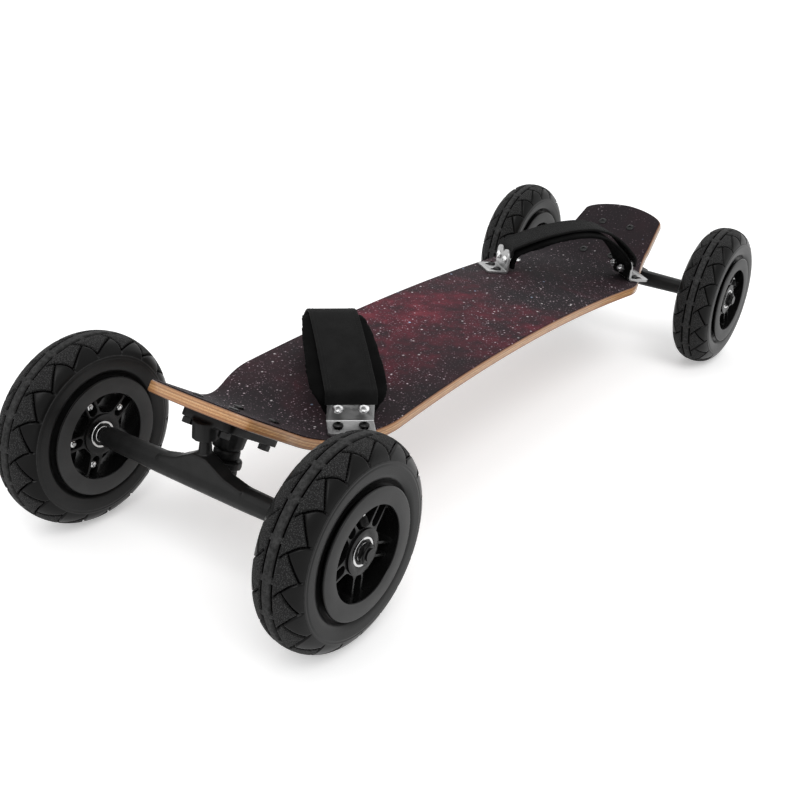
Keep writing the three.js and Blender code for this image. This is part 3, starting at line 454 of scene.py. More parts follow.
def star_print():
    """A made-up haze of crimson over charcoal, with pale specks of several sizes."""
    shader = Shader("star_print", 0.1, 0.75)
    flat = shader.coords((1, 1, 0))
    warp = shader.node("ShaderNodeTexNoise", {"Vector": flat, "Scale": 3.4, "Detail": 3.0})
    bent = shader.node("ShaderNodeVectorMath", {0: flat, 1: warp.outputs["Color"], 2: HAZE_SHIFT},
                       operation="MULTIPLY_ADD")
    place = shader.node("ShaderNodeSeparateXYZ", {"Vector": flat}).outputs[0]
    amount = shader.product(
        shader.ramp(shader.noise(5.2, 7, bent.outputs[0], 0.62), (0.44, 0.0), (0.69, 1.0)),
        shader.ramp(shader.noise(22, 8, flat, 0.7), (0.34, 0.12), (0.64, 1.0)),
        shader.ramp(shader.math("ABSOLUTE", place), (0.18, 1.0), (0.36, 0.2)))
    color = shader.ramp(amount, *HAZE)
    crowd = shader.product(shader.ramp(shader.noise(11, 3, flat), (0.35, 0.35), (0.62, 1.0)),
                           shader.ramp(place, (0.3, 1.0), (0.42, 0.3)))
    for scale, size, rare, tone, kind in SPECKS:
        cells = shader.voronoi(scale, flat, kind)
        spot = shader.ramp(cells["Distance"], (size * 0.35, 1.0), (size, 0.0))
        pick = shader.node("ShaderNodeSeparateColor", {"Color": cells["Color"]})
        chosen = shader.ramp(pick.outputs[0], (rare, 0.0), (min(rare + 0.15, 1), 1.0))
        color = shader.mix(shader.product(spot, chosen, crowd), color, tone)
    shader.link(color, "Base Color")
    shader.bump(shader.noise(1500, 2, flat), 0.00012, 0.5)
    return shader.material


def webbing():
    shader = Shader("strap_webbing", 0.06, 0.85, Sheen_Weight=0.03)
    weave = [shader.math("SINE", shader.product(shader.attribute(name), math.tau * ridges))
             for name, ridges in (("across", WARP_RIDGES), ("along", WEFT_RIDGES))]
    shader.cloud("Base Color", 70, 3, 0.006, 0.01)
    shader.bump(shader.product(*weave), 0.0002, 0.6)
    return shader.material


def foam_cloth():
    shader = Shader("pad_cloth", 0.03, 0.9, Sheen_Weight=0.01)
    shader.cloud("Base Color", 45, 4, 0.0025, 0.005)
    shader.bump(shader.voronoi(1300)["Distance"], 0.0003, 0.5)
    shader.bump(shader.noise(60, 3), 0.0006, 0.3)
    return shader.material


TYRE = rubber()
TYRE_SMOOTH = grained("tyre_smooth", 0.13, 0.3, (40, 3, 0.0021, 0.0039), (500, 2, 0.0001, 0.4))
# Painted shade: a near-black copy of the tyre rubber with almost no reflection, for the faces deep in the
# grooves
TYRE_GROOVE_SHADE = grained("tyre_groove_shade", 0.01, 0.95, (40, 3, 0.0007, 0.0013), (500, 2, 0.0001, 0.4))
HUB = grained("hub_plastic", 0.22, (60, 3, 0.2, 0.3), (34, 3, 0.0025, 0.0055, 0.75),
              (700, 2, 0.00005, 0.3))
HUB_RING = grained("hub_ring", 0.3, 0.5, (40, 3, 0.02, 0.03), (900, 2, 0.00008, 0.4))
SATIN = grained("truck_satin", 0.2, (90, 3, 0.36, 0.5), (30, 4, 0.0052, 0.00975), (520, 3, 0.00016, 0.5))
THREAD = grained("seam_thread", 0.1, 0.8, (400, 2, 0.009, 0.016), (2600, 2, 0.0001, 0.5))
URETHANE = grained("urethane_black", 0.2, 0.5, (50, 3, 0.0048, 0.0078), (600, 2, 0.0001, 0.5))
BUTYL = grained("valve_rubber", 0.2, 0.5, (50, 3, 0.0064, 0.0104), (600, 2, 0.0001, 0.5))
BRACKET = polished_metal("bracket_metal", 0.37, 0.36)
BOLT = polished_metal("bolt_zinc", 0.62, 0.18)
BRIGHT = polished_metal("bright_zinc", 0.9, 0.3)
DARK_STEEL = polished_metal("dark_steel", 0.03, 0.34)
BEARING = polished_metal("bearing_steel", 0.66, 0.2)
WOOD = deck_wood()
PRINT = star_print()
WEBBING = webbing()
FOAM = foam_cloth()


# Deck

STATIONS = 110
CROWN_STEPS = 16
CROWN_POWERS = (0.55, 1.6)
DECK_EDGE = 0.0016
GRIP_EDGE = 0.0003


def deck_height(x):
    a = np.abs(x)
    fall = -2 * CAMBER_DROP / CAMBER_HALF
    bent = np.clip(a - CAMBER_HALF, 0, BEND_LENGTH)
    past = np.clip(a - CAMBER_HALF - BEND_LENGTH, 0, None)
    camber = DECK_TOP - CAMBER_DROP * (np.minimum(a, CAMBER_HALF) / CAMBER_HALF) ** 2
    rise = fall * bent + (KICK_SLOPE - fall) * bent**2 / (2 * BEND_LENGTH) + KICK_SLOPE * past
    return float(camber + rise)


def deck_slope(x):
    a = np.abs(x)
    fall = -2 * CAMBER_DROP * np.minimum(a, CAMBER_HALF) / CAMBER_HALF**2
    part = np.clip((a - CAMBER_HALF) / BEND_LENGTH, 0, 1)
    return np.sign(x) * (fall + (KICK_SLOPE - fall) * part)


def deck_half_width(x):
    a = abs(x)
    wide = DECK_WAIST_HALF + (DECK_STANCE_HALF - DECK_WAIST_HALF) * min(a / DECK_STANCE_X, 1) ** 2
    ease = smoothstep((a - DECK_STANCE_X) / (TIP_START_X - DECK_STANCE_X))
    taper = min(max((a - TIP_START_X) / (CROWN_START - TIP_START_X), 0), 1)
    tip = TIP_START_HALF + (TIP_END_HALF - TIP_START_HALF) * taper
    return wide + (tip - wide) * ease


def smoothstep(x):
    x = np.clip(x, 0, 1)
    return x * x * (3 - 2 * x)


def deck_stations():
    """Pairs of a place along the deck and the share of its width left there."""
    power, root = CROWN_POWERS
    half = [(x, 1.0) for x in np.linspace(0, CROWN_START, STATIONS)]
    shares = np.sin(np.linspace(math.pi / 2, 0.03, CROWN_STEPS))[1:]
    half += [(CROWN_START + TIP_CROWN * (1 - s ** (1 / power)) ** (1 / root), s) for s in shares]
    return [(-x, s) for x, s in half[:0:-1]] + half


def deck_sheet(name, low, high, inset, edge, materials):
    """A sheet that follows the deck between two heights, with its edge rounded."""
    shrink = (DECK_HALF_LENGTH - inset) / DECK_HALF_LENGTH
    rings, depths = [], []
    for station, share in deck_stations():
        x = station * shrink
        half = max(deck_half_width(station) * share - inset, 2 * edge)
        tilt = math.atan(deck_slope(x))
        top, under = ([(y * (half - edge), n) for y in shares]
                      for n, shares in ((high, (0.5, 0, -0.5)), (low, (-0.5, 0, 0.5))))
        right = [*arc_points(edge - half, high - edge, edge, 90, 180, 4), (-half, (high + low) / 2),
                 *arc_points(edge - half, low + edge, edge, 180, 270, 4)]
        section = top + right + under + [(-y, n) for y, n in reversed(right)]
        z = deck_height(x)
        rings.append([(x - n * math.sin(tilt), y, z + n * math.cos(tilt)) for y, n in section])
        depths.append([(high - n) / (high - low) for _, n in section])
    obj = loft(name, rings, materials, 50)
    attribute(obj.data, "ply", depths)
    return obj


def make_deck():
    deck = deck_sheet("deck_board", -DECK_THICKNESS, 0, 0, DECK_EDGE, [WOOD])
    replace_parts(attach(deck, "board"), "deck")
    grip = deck_sheet("grip_print", GRIP_LOW, GRIP_HIGH, GRIP_INSET, GRIP_EDGE, [PRINT])
    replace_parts(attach(grip, "board"), "grip_sheet")


# Tyres: places on the section are millimetres from the crown's middle line, and places
# round the tyre are shares of one period of the tread

TREAD_PERIODS = 18
TREAD_STEPS = 42
SECTION_STEPS = 50
SECTION_HALF_WIDTH = 0.0268
SECTION_HALF_HEIGHT = 0.0237
SECTION_CENTRE = TYRE_RADIUS - SECTION_HALF_HEIGHT
SECTION_POWER = 2 / 2.15
SECTION_END = math.radians(86)
# The wall and bead, then the inside, as (radius, across) in millimetres
WALL = ((75.5, 26.9), (72, 26.75), (69, 26.4), (66.8, 25.4), (65.2, 23.2), (63.4, 20.8), (60.5, 20.2),
        (56.5, 21.2), (53.2, 20.6), (52.4, 18))
INSIDE = ((54.5, 14), (64, 20.5), (80, 20.5), (91, 14), (95, 0))
GROOVE_DEPTH = 0.0027
GROOVE_REACH = 1.55
DASH_ROW = 5.4
DASH_RISE = 0.7
DASH_MIDDLE = 0.14
DASH_HALF = 0.43
ARC = ((8.6, 11, 14, 18, 22, 28, 33.6), (0.0, -0.09, -0.17, -0.27, -0.355, -0.42, -0.42))
ARC_FADE = (31, 0.4)
SLANT = ((13.5, 29), (-0.157, 0.58))
TREAD_END = 34
RIDGES = ((34.8, 0.7, 0.0005), (37.8, 0.9, 0.0004))
LIFT_END = 41
FAR = 99.0


def tyre_profile():
    """Points (radius, across, tread) round the tyre: tread is the distance from the crown."""
    theta = np.linspace(0, SECTION_END, SECTION_STEPS)
    crown = np.stack([SECTION_CENTRE + np.cos(theta) ** SECTION_POWER * SECTION_HALF_HEIGHT,
                      np.sin(theta) ** SECTION_POWER * SECTION_HALF_WIDTH])
    r, t = np.concatenate([crown, np.array(WALL).T * MM], 1)
    length = np.concatenate([[0], np.cumsum(np.hypot(np.diff(r), np.diff(t)))])
    right = list(zip(r, t, length)) + [(a * MM, b * MM, 1.0) for a, b in INSIDE]
    return np.array(right + [(a, -b, c) for a, b, c in reversed(right[1:-1])])


def to_line(line, v, p, pitch):
    """How far each point lies from the tread's line, in millimetres."""
    step = 0.4
    slope = (np.interp(v + step, *line) - np.interp(v - step, *line)) / (2 * step)
    off = p - np.interp(v, *line)
    far = np.abs(off - np.round(off)) * pitch / np.hypot(1, slope * pitch)
    return np.where((v > line[0][0] - 1) & (v < line[0][-1]), far, FAR)


def outward(r, t):
    """The profile's outward direction at each of its points."""
    dr = np.roll(r, -1) - np.roll(r, 1)
    dt = np.roll(t, -1) - np.roll(t, 1)
    size = np.hypot(dr, dt)
    return dt / size, -dr / size


def tyre_mesh():
    r, t, reach = tyre_profile().T
    count = TREAD_PERIODS * TREAD_STEPS
    period = math.tau / TREAD_PERIODS
    turn = np.linspace(0, math.tau, count, endpoint=False)[:, None]
    v = reach / MM + 0 * turn
    pitch = r * period / MM
    p = turn / period + 0 * v
    turned = p * np.sign(t)
    dash = p - DASH_MIDDLE
    to_dash = np.where(np.abs(dash - np.round(dash)) < DASH_HALF, DASH_RISE * np.abs(v - DASH_ROW), FAR)
    to_arc = to_line(ARC, v, turned, pitch) + ARC_FADE[1] * np.maximum(v - ARC_FADE[0], 0)
    near = np.minimum(np.minimum(to_arc, to_line(SLANT, v, turned, pitch)), to_dash)
    shown = v < LIFT_END
    lift = -GROOVE_DEPTH * (1 - smoothstep(near / GROOVE_REACH))
    for place, width, height in RIDGES:
        lift += height * np.exp(-(((v - place) / width) ** 2))
    lift = np.where(shown, lift, 0)
    d_r, d_t = outward(r, t)
    radius = r + lift * d_r
    points = np.stack([radius * np.cos(turn), radius * np.sin(turn), t + lift * d_t], -1)
    faces = ring_faces(count, len(r), True)[:, ::-1]
    mesh = bpy.data.meshes.new("tyre_carcass")
    mesh.from_pydata(points.reshape(-1, 3).tolist(), [], faces.tolist())
    arc = np.interp(v, *ARC)
    span = np.where(v < SLANT[0][1], np.interp(v, *SLANT) - arc, 1.0)
    tooth = (v > SLANT[0][0]) & (v < TREAD_END) & (np.mod(turned - arc, 1) < span)
    # A mask of painted shade: 1 in the grooves and fading out beside them, where it darkens the rubber's
    # colour
    groove_shade = np.where(shown, 1 - smoothstep(near / (0.9 * GROOVE_REACH)), 0.0)
    attribute(mesh, "knurl", (v < TREAD_END) & (v > DASH_ROW) & ~tooth)
    attribute(mesh, "gloss", v > TREAD_END)
    attribute(mesh, "groove_shade", groove_shade)
    for material in (TYRE, TYRE_SMOOTH, TYRE_GROOVE_SHADE):
        mesh.materials.append(material)
    # Faces deep in the grooves take the painted-shade rubber, and the smooth teeth take their own rubber
    in_groove_shade, in_tooth = (values.ravel()[faces].mean(1) for values in (groove_shade, tooth))
    index = np.where(in_groove_shade > 0.6, 2, np.where(in_tooth > 0.5, 1, 0))
    mesh.polygons.foreach_set("material_index", index.astype(np.int32))
    mesh.polygons.foreach_set("use_smooth", [True] * len(mesh.polygons))
    return mesh


# Wheels: lengths along an axle are from the hub's split

RING_FACE = 0.0285
HUB_FACE = 0.0234
HUB_EASE = 0.0007
BOSS_RADIUS = 0.0214
DISC_RADIUS = 0.0468
SPOKES = 5
SPOKE_FACE = 0.021
SPOKE_HALF = 0.0074
SPOKE_RIB = 0.0026
SPOKE_FLOOR = 0.007
SPOKE_TURNS = {"rear_left": 36.0, "rear_right": 49.7, "front_left": 18.0, "front_right": 7.2}
POCKET_ENDS = (0.0222, 0.0453)
POCKET_CORNER = 0.0052
CHANNEL_ENDS = (0.0232, 0.0477)
OUTLINE_STEP = 0.0004
SHARP_CORNER = math.radians(25)
BEARING_RADIUS = 0.014
BEARING_HEIGHT = 0.008
SHIELD = (0.0086, 0.0115)
AXLE_WAY = 0.0093
SPLIT = 0.00015
CUT_LOW, CUT_HIGH = -0.01, 0.05
VALVE_ROOT = 0.0566
VALVE_SIDE = 0.005
VALVE_LEAN = math.radians(28)
HUB_BOLT_PLACE = 0.0335
BOLT_POST = ((0, 0), (5.4, 0), (4.8, 10.5), (0, 10.5))
POST_TOP = 0.0105
# A bolt's head radius, head height and shank radius; a nut's radius, height and bore
HUB_BOLT = (0.0042, 0.003, 0.0022)
HUB_BOLT_LENGTH = 0.004
HUB_NUT = (0.0042, 0.0034, 0.0021)
AXLE_NUT = (0.01, 0.0046, 0.0061)
# (radius, height) in millimetres
BARREL = ((45.4, 0.15), (49.6, 0.15), (49.8, 20), (51, 24.6), (54, 25.9), (60.6, 26.3), (61.7, 26.9),
          (61.9, 27.9), (61.5, 28.9), (60.7, 29.3), (45.9, 29.3), (45.1, 29.1), (44.7, 28.5), (44.9, 20))
RACES = ((6.3, 0), (14, 0), (14, 7.6), (13.6, 8), (11.9, 8), (11.6, 7.7), (11.6, 7.3), (8.5, 7.3),
         (8.5, 7.7), (8.2, 8), (6.7, 8), (6.3, 7.6))
COLLAR = ((6.1, 4.4), (8.2, 4.4), (8.2, 5.2), (7.4, 6), (6.1, 6))
STEM = ((0, 20), (3.2, 20), (3.1, 27), (2.6, 28), (2.6, 30), (0, 30))
# Heights up the valve's cap with its width there as a share
CAP = ((28.6, 0.94), (29, 1), (35.4, 1), (36.2, 0.86), (36.5, 0.6))
CAP_RADII = (0.00335, 0.0037)


def pocket_outline():
    """A leaf-shaped pocket between two spokes, with its corners rounded."""
    inner, outer = POCKET_ENDS
    side = lambda r: math.pi / SPOKES - SPOKE_HALF / r
    edge = [(r, side(r)) for r in np.linspace(inner, outer, 7)]
    cap = [(outer, a) for a in np.linspace(side(outer), -side(outer), 9)[1:-1]]
    back = [(r, -a) for r, a in reversed(edge)]
    root = [(inner, a) for a in np.linspace(-side(inner), side(inner), 4)[1:-1]]
    return rounded([(r * math.cos(a), r * math.sin(a)) for r, a in edge + cap + back + root])


def rounded(points):
    """The outline with every sharp corner turned into an arc."""
    out = []
    count = len(points)
    for i in range(count):
        a, b, c = (Vector(points[k % count]) for k in (i - 1, i, i + 1))
        before, after = (a - b), (c - b)
        if math.pi - before.angle(after) < SHARP_CORNER:
            out.append(tuple(b))
            continue
        reach = min(POCKET_CORNER, before.length * 3, after.length * 3)
        start, end = b + before.normalized() * reach, b + after.normalized() * reach
        out += [tuple(start.lerp(b, s).lerp(b.lerp(end, s), s)) for s in np.linspace(0, 1, 6)]
    return clean_outline(out)


def clean_outline(points):
    """Drops points that a rounded corner has passed, keeping the order round the middle."""
    middle = np.mean(points, 0)
    kept = []
    for point in sorted(points, key=lambda p: math.atan2(p[1] - middle[1], p[0] - middle[0])):
        if not kept or math.dist(point, kept[-1]) > OUTLINE_STEP:
            kept.append(point)
    return kept


def hub_star():
    """The disc with its boss, five pockets, five channels and the bearing's seat."""
    star = prism("star", circle(DISC_RADIUS, 96), SPLIT, SPOKE_FACE, [HUB])
    boss = prism("boss", circle(BOSS_RADIUS, 60), SPLIT, HUB_FACE, [HUB])
    boolean(star, [boss], "UNION")
    pocket = pocket_outline()
    channel = slot_outline(*CHANNEL_ENDS, SPOKE_HALF - SPOKE_RIB)
    cuts = []
    for i in range(SPOKES):
        turn = math.tau * i / SPOKES
        outline = turned_outline(pocket, turn + math.pi / SPOKES)
        cuts.append(prism("pocket", outline, CUT_LOW, CUT_HIGH))
        cuts.append(prism("channel", turned_outline(channel, turn), SPOKE_FLOOR, CUT_HIGH))
    seat = HUB_FACE - BEARING_HEIGHT - GAP
    cuts.append(prism("seat", circle(BEARING_RADIUS + GAP), seat, CUT_HIGH))
    cuts.append(prism("way", circle(AXLE_WAY), CUT_LOW, CUT_HIGH))
    boolean(star, cuts, "DIFFERENCE")
    bevel(star, HUB_EASE, 2, 40)
    applied(star)
    smooth(star, 35)
    return star


def hub_mesh():
    barrel = solid_lathe("barrel", in_mm(BARREL), 120, [HUB, HUB_RING], 35)
    second_material(barrel, lambda middle: middle.z > RING_FACE)
    return taken(joined([barrel, hub_star()], "hub_half"))


def bearing_mesh():
    """One bearing with its two races and the shield between them."""
    races = in_mm(RACES, HUB_FACE - BEARING_HEIGHT)
    obj = solid_lathe("bearing", races, 64, [BEARING, URETHANE], 30)
    second_material(obj, lambda middle: SHIELD[0] < math.hypot(middle.x, middle.y) < SHIELD[1])
    return taken(obj)


def nut_mesh(name, radius, height, bore, material):
    """A chamfered hexagon nut with its bore, standing on Z = 0."""
    flat = radius * math.cos(math.pi / 6)
    chamfer, wide, over = 0.6 * (radius - flat), radius + 0.2 * MM, height + 0.1 * MM
    nut = prism(name, circle(radius, 6), 0, height, [material])
    dome = [(0, -MM), (flat, -MM), (flat, 0), (wide, chamfer), (wide, height - chamfer),
            (flat, height), (flat * 0.9, over), (0, over)]
    boolean(nut, [solid_lathe("dome", dome, 48)], "INTERSECT")
    boolean(nut, [prism("bore", circle(bore, 32), CUT_LOW, height - CUT_LOW)], "DIFFERENCE")
    smooth(nut, 25)
    return nut


def axle_nut_mesh():
    """A locking nut: the hexagon and the plain collar that holds its nylon ring."""
    nut = nut_mesh("axle_nut", *AXLE_NUT, DARK_STEEL)
    collar = solid_lathe("collar", in_mm(COLLAR), 48, [DARK_STEEL], 30)
    return taken(joined([nut, collar], "axle_nut"))


def button_bolt(name, radius, height, shank, length, material):
    """A domed head over Z = 0 with a hexagon socket, and its shank below."""
    dome = [(radius * math.cos(a), height * (0.25 + 0.75 * math.sin(a)))
            for a in np.linspace(0, math.pi / 2, 9)]
    profile = [(0, -length), (shank * 0.85, -length), (shank, -length + 0.6 * MM), (shank, 0),
               (radius, 0), *dome]
    bolt = solid_lathe(name, profile, 48, [material], 30)
    socket = prism("socket", circle(radius * 0.46, 6), height * 0.35, height - CUT_LOW)
    boolean(bolt, [socket], "DIFFERENCE")
    smooth(bolt, 30)
    return bolt


def valve_mesh():
    """A ribbed cap on the end of a valve's stem, along Z from the stem's root."""
    stem = solid_lathe("stem", in_mm(STEM), 32, [BOLT], 30)
    ribs = [(x * CAP_RADII[i % 2], y * CAP_RADII[i % 2]) for i, (x, y) in enumerate(circle(1))]
    cap = loft("cap", [[(x * k, y * k, z * MM) for x, y in ribs] for z, k in CAP], [BUTYL])
    return taken(joined([stem, cap], "valve_cap"))


def wheel_matrix(end, side):
    turn = spin(-side * math.pi / 2, "X")
    return move(end * AXLE_X, side * TRACK_HALF, TYRE_RADIUS) @ turn


def make_wheels():
    tyre = tyre_mesh()
    half = hub_mesh()
    bearing = bearing_mesh()
    axle_nut = axle_nut_mesh()
    post = solid_lathe("post", in_mm(BOLT_POST), 32, [HUB], 30)
    head = button_bolt("hub_bolt", *HUB_BOLT, HUB_BOLT_LENGTH, BOLT)
    head.data.transform(move(0, 0, POST_TOP))
    hub_bolt = taken(joined([head, post], "hub_bolt"))
    hub_nut = taken(nut_mesh("hub_nut", *HUB_NUT, DARK_STEEL))
    valve = valve_mesh()
    flip = spin(math.pi, "X")
    lean = move(VALVE_ROOT, 0, VALVE_SIDE) @ to_axis(
        Vector((-math.cos(VALVE_LEAN), 0, math.sin(VALVE_LEAN))))
    for end, e in ENDS.items():
        for side, s in SIDES.items():
            wheel = f"{end}_{side}"
            body, hanger = f"{wheel}_wheel", f"{end}_hanger_body"
            place = wheel_matrix(e, s)
            turn = place @ spin(math.radians(SPOKE_TURNS[wheel]), "Z")
            tread_place = move(0, 2 * TRACK_HALF if s > 0 else 0, 0) @ wheel_matrix(e, -1)
            pieces = [
                ("tread", tyre, tread_place, body, "tyre", "tyre"),
                ("hub_out", half, turn, body, "hub_plastic", "hub_outer_half"),
                ("hub_in", half, turn @ flip, body, "hub_plastic", "hub_inner_half"),
                ("bearing_out", bearing, place, body, "steel", "wheel_bearings"),
                ("bearing_in", bearing, place @ flip, body, "steel"),
                ("lock_nut", axle_nut, place @ move(0, 0, HUB_FACE + GAP), hanger, "dark_steel", "axle_nut"),
                ("valve_cap", valve, turn @ spin(math.pi / SPOKES, "Z") @ lean, body, "tube_rubber"),
            ]
            for i in range(SPOKES):
                seat = spin(math.tau * i / SPOKES, "Z") @ move(HUB_BOLT_PLACE, 0, SPOKE_FLOOR)
                pieces += [(f"hub_bolt_{i}", hub_bolt, turn @ flip @ seat, body, "steel"),
                           (f"hub_nut_{i}", hub_nut, turn @ seat, body, "dark_steel")]
            for piece, mesh, matrix, rider, slot, *nodes in pieces:
                placed(f"{wheel}_{piece}", mesh, matrix, rider, slot, *(f"{wheel}_{n}" for n in nodes))


# Bindings

FACING = math.radians(42)
BRACKET_TO_BEND = 0.0089
BINDING_REACH = 0.125
EDGE_GAPS = {1: 0.0313, -1: 0.0418}
FOOT_LIFT = 0.0014
BRACKET_HEIGHT = 0.031
BRACKET_THICKNESS = 0.003
BRACKET_FOOT = 0.027
BRACKET_HALF = 0.0232
BRACKET_VALLEY = 0.025
EAR_RADIUS = 0.0105
VALLEY_RADIUS = 0.00594
BEND_RADIUS = 0.0042
FOOT_CORNER = 0.004
STRAP_HOLE = 0.0032
SLOT_HALF = 0.004
SLOT_ENDS = (0.005, 0.019)
SLOT_MIDDLE = 0.0098
BOLT_PLACES = (-0.0127, 0.0127)
BOLT_HEIGHT = 0.017
BRACKET_EASE = 0.0006
STRAP_BOLT = (0.0054, 0.0032, 0.003)
STRAP_NUT = (0.0058, 0.0044, 0.0029)
BOLT_END = 0.0078
SCREW = (0.0053, 0.0032, 0.003)
SCREW_LENGTH = 0.0232
STRAP_WIDTH = 0.051
STRAP_THICKNESS = 0.003
# Shares of the path down a leg, each with its height over the bracket's foot
STRAP_LEGS = ((0.1, 0.022), (0.05, 0.025))
STRAP_FOLD = 0.004
SEAM_ROWS = (-0.0225, -0.0195, 0.0195, 0.0225)
SEAM_SHARES = (0.08, 0.92)
PAD_THICKNESS = 0.007
PAD_GAP = 0.0012
PAD_SPRING = 0.025
PAD_FOLD = 0.006
PAD_LEGS = ((0.3, 0.0038), (0.25, 0.0066), (0.2, 0.01), (0.15, 0.0138), (0.1, 0.0175))
PAD_WIDTH = 0.054
PAD_SWELL = 0.027
PAD_SWELLS = ((-0.3, -0.1, 0, 0.2, 0.36, 0.5, 0.7, 0.82, 0.95, 1, 1.1, 1.2, 1.3),
              (-0.35, -0.05, 0, 0.15, 0.55, 0.85, 1, 0.9, 0.6, 0.45, 0.25, 0, -0.35))
ARCH_STEPS = 73
FOLD_STEPS = 7
BINDINGS = {
    "rear": {"turn": -1, "crest": 0.063, "at": 0.28, "powers": (2, 1.35)},
    "front": {"turn": 1, "crest": 0.071, "at": 0.62, "powers": (1.6, 2.2)},
}


def bracket_frame(spec, side):
    """Width along X, outward along Y, up along Z, on the deck at the bracket's foot."""
    x = spec["turn"] * (CAMBER_HALF - BRACKET_TO_BEND - (0 if side > 0 else BINDING_REACH))
    y = side * (EDGE_GAPS[side] - DECK_STANCE_HALF)
    out = Vector((math.cos(FACING) * spec["turn"], -math.sin(FACING))) * side
    spread = BRACKET_HALF * abs(out.y)
    reach = (-BRACKET_THICKNESS * abs(out.x) - spread, BRACKET_FOOT * abs(out.x) + spread)
    ends = [x + math.copysign(1, out.x) * r for r in reach]
    slope = (deck_height(ends[1]) - deck_height(ends[0])) / (ends[1] - ends[0])
    floor = max(deck_height(p) - slope * (p - x) for p in np.linspace(*ends, 5)) + FOOT_LIFT
    matrix = move(x, y, floor) @ spin(-math.atan(slope), "Y")
    return matrix @ spin(math.atan2(out.y, out.x) - math.pi / 2, "Z")


def ear_outline():
    """The upright plate from outside: straight sides, two round ears and a valley between."""
    x, top = BOLT_PLACES[1], BRACKET_HEIGHT - EAR_RADIUS
    low = BRACKET_VALLEY + VALLEY_RADIUS
    meet = math.degrees(math.atan2(low - top, -x))
    right = arc_points(x, top, EAR_RADIUS, 0, meet)
    valley = arc_points(0, low, VALLEY_RADIUS, meet - 180, -meet)
    left = arc_points(-x, top, EAR_RADIUS, 180 - meet, 180)
    return [(-BRACKET_HALF, -MM), (BRACKET_HALF, -MM)] + right + valley[1:-1] + left


def upright(name, outline):
    """A prism along Y from an outline of (x, z) points."""
    obj = prism(name, outline, -0.03, 0.004)
    obj.data.transform(spin(math.pi / 2, "X"))
    return obj


def bracket_mesh():
    """A bent plate with two ears, two strap holes and two slots in its foot."""
    inner = BEND_RADIUS - BRACKET_THICKNESS
    reach, high = BRACKET_FOOT + MM, BRACKET_HEIGHT + MM
    section = [(-BRACKET_THICKNESS, high), *arc_points(inner, BEND_RADIUS, BEND_RADIUS, 180, 270, 8),
               (reach, 0), (reach, BRACKET_THICKNESS),
               *arc_points(inner, BEND_RADIUS, inner, 270, 180, 8), (0, high)]
    half = BRACKET_HALF + 0.8 * MM
    plate = loft("plate", [[(x, y, z) for y, z in section] for x in (-half, half)], [BRACKET])
    foot = [(-BRACKET_HALF, -0.004), (BRACKET_HALF, -0.004)]
    for side, start in ((1, 0), (-1, 90)):
        foot += arc_points(side * (BRACKET_HALF - FOOT_CORNER), BRACKET_FOOT - FOOT_CORNER,
                           FOOT_CORNER, start, start + 90, 7)
    boolean(plate, [upright("ears", ear_outline()), prism("foot", foot, -MM, high)], "INTERSECT")
    slot = turned_outline(slot_outline(*SLOT_ENDS, SLOT_HALF), math.pi / 2)
    cuts = []
    for x in BOLT_PLACES:
        cuts.append(upright("hole", [(a + x, b + BOLT_HEIGHT) for a, b in circle(STRAP_HOLE, 32)]))
        cuts.append(prism("slot", [(a + x, b) for a, b in slot], -MM, 0.006))
    boolean(plate, cuts, "DIFFERENCE")
    bevel(plate, BRACKET_EASE, 3, 40)
    applied(plate)
    smooth(plate, 35)
    return taken(plate)


def arch_share(spec, share):
    """The arch's height at a share of its way, as a share of its crest."""
    left, right = spec["powers"]
    if share < spec["at"]:
        return 1 - (1 - share / spec["at"]) ** left
    return 1 - ((share - spec["at"]) / (1 - spec["at"])) ** right


def band_path(spec, frames, offsets, legs, spring, crest, fold):
    """Points and shares up one bracket, over the arch and down the other bracket."""
    on = lambda i, height: frames[i] @ Vector((0, offsets[i], height))
    starts = [on(0, spring), on(1, spring)]
    arch = []
    for turn in np.linspace(0, math.pi, ARCH_STEPS):
        share = (1 - math.cos(turn)) / 2
        point = starts[0].lerp(starts[1], share)
        point.z += (crest - spring) * arch_share(spec, share)
        arch.append((point, turn / math.pi))
    inner = [(p, t) for p, t in arch if min((p - start).length for start in starts) > fold]
    path = [(on(0, height), -share) for share, height in legs]
    for i, (near, share) in enumerate((inner[0], inner[-1])):
        below = on(i, spring - fold)
        turn = [(below.lerp(starts[i], k).lerp(starts[i].lerp(near, k), k), i + (share - i) * k)
                for k in np.linspace(0, 1, FOLD_STEPS)[:-1]]
        path += turn[::-1] if i else turn + inner
    return path + [(on(1, height), 1 + share) for share, height in reversed(legs)]


def steps_of(frames, path):
    """Each point and share of a path, with the ways ahead, across the band and up from it."""
    widths = [frames[0].to_3x3().col[0] * -1, frames[1].to_3x3().col[0]]
    for i, (point, share) in enumerate(path):
        ahead = path[min(i + 1, len(path) - 1)][0] - path[max(i - 1, 0)][0]
        side = widths[0].lerp(widths[1], min(max(share, 0), 1)).normalized()
        yield point, share, ahead, side, side.cross(ahead).normalized()


def band(name, frames, path, width_at, section, materials):
    """A section swept along the path, with how far across and along each point lies."""
    rings, along = [], []
    distance, last = 0, path[0][0]
    for point, share, _, side, up in steps_of(frames, path):
        distance += (point - last).length
        last = point
        half = width_at(share) / 2
        rings.append([point + side * (w * half) + up * t for w, t in section])
        along.append([distance] * len(section))
    obj = loft(name, rings, materials, 60)
    attribute(obj.data, "across", [w for w, _ in section] * len(path))
    attribute(obj.data, "along", along)
    return obj


def strap_section():
    t = STRAP_THICKNESS / 2
    top = [(w, t) for w in (-0.975, -0.9, -0.5, 0, 0.5, 0.9, 0.975)]
    return with_opposite(top + [(1, 0.45 * t), (1, -0.45 * t)])


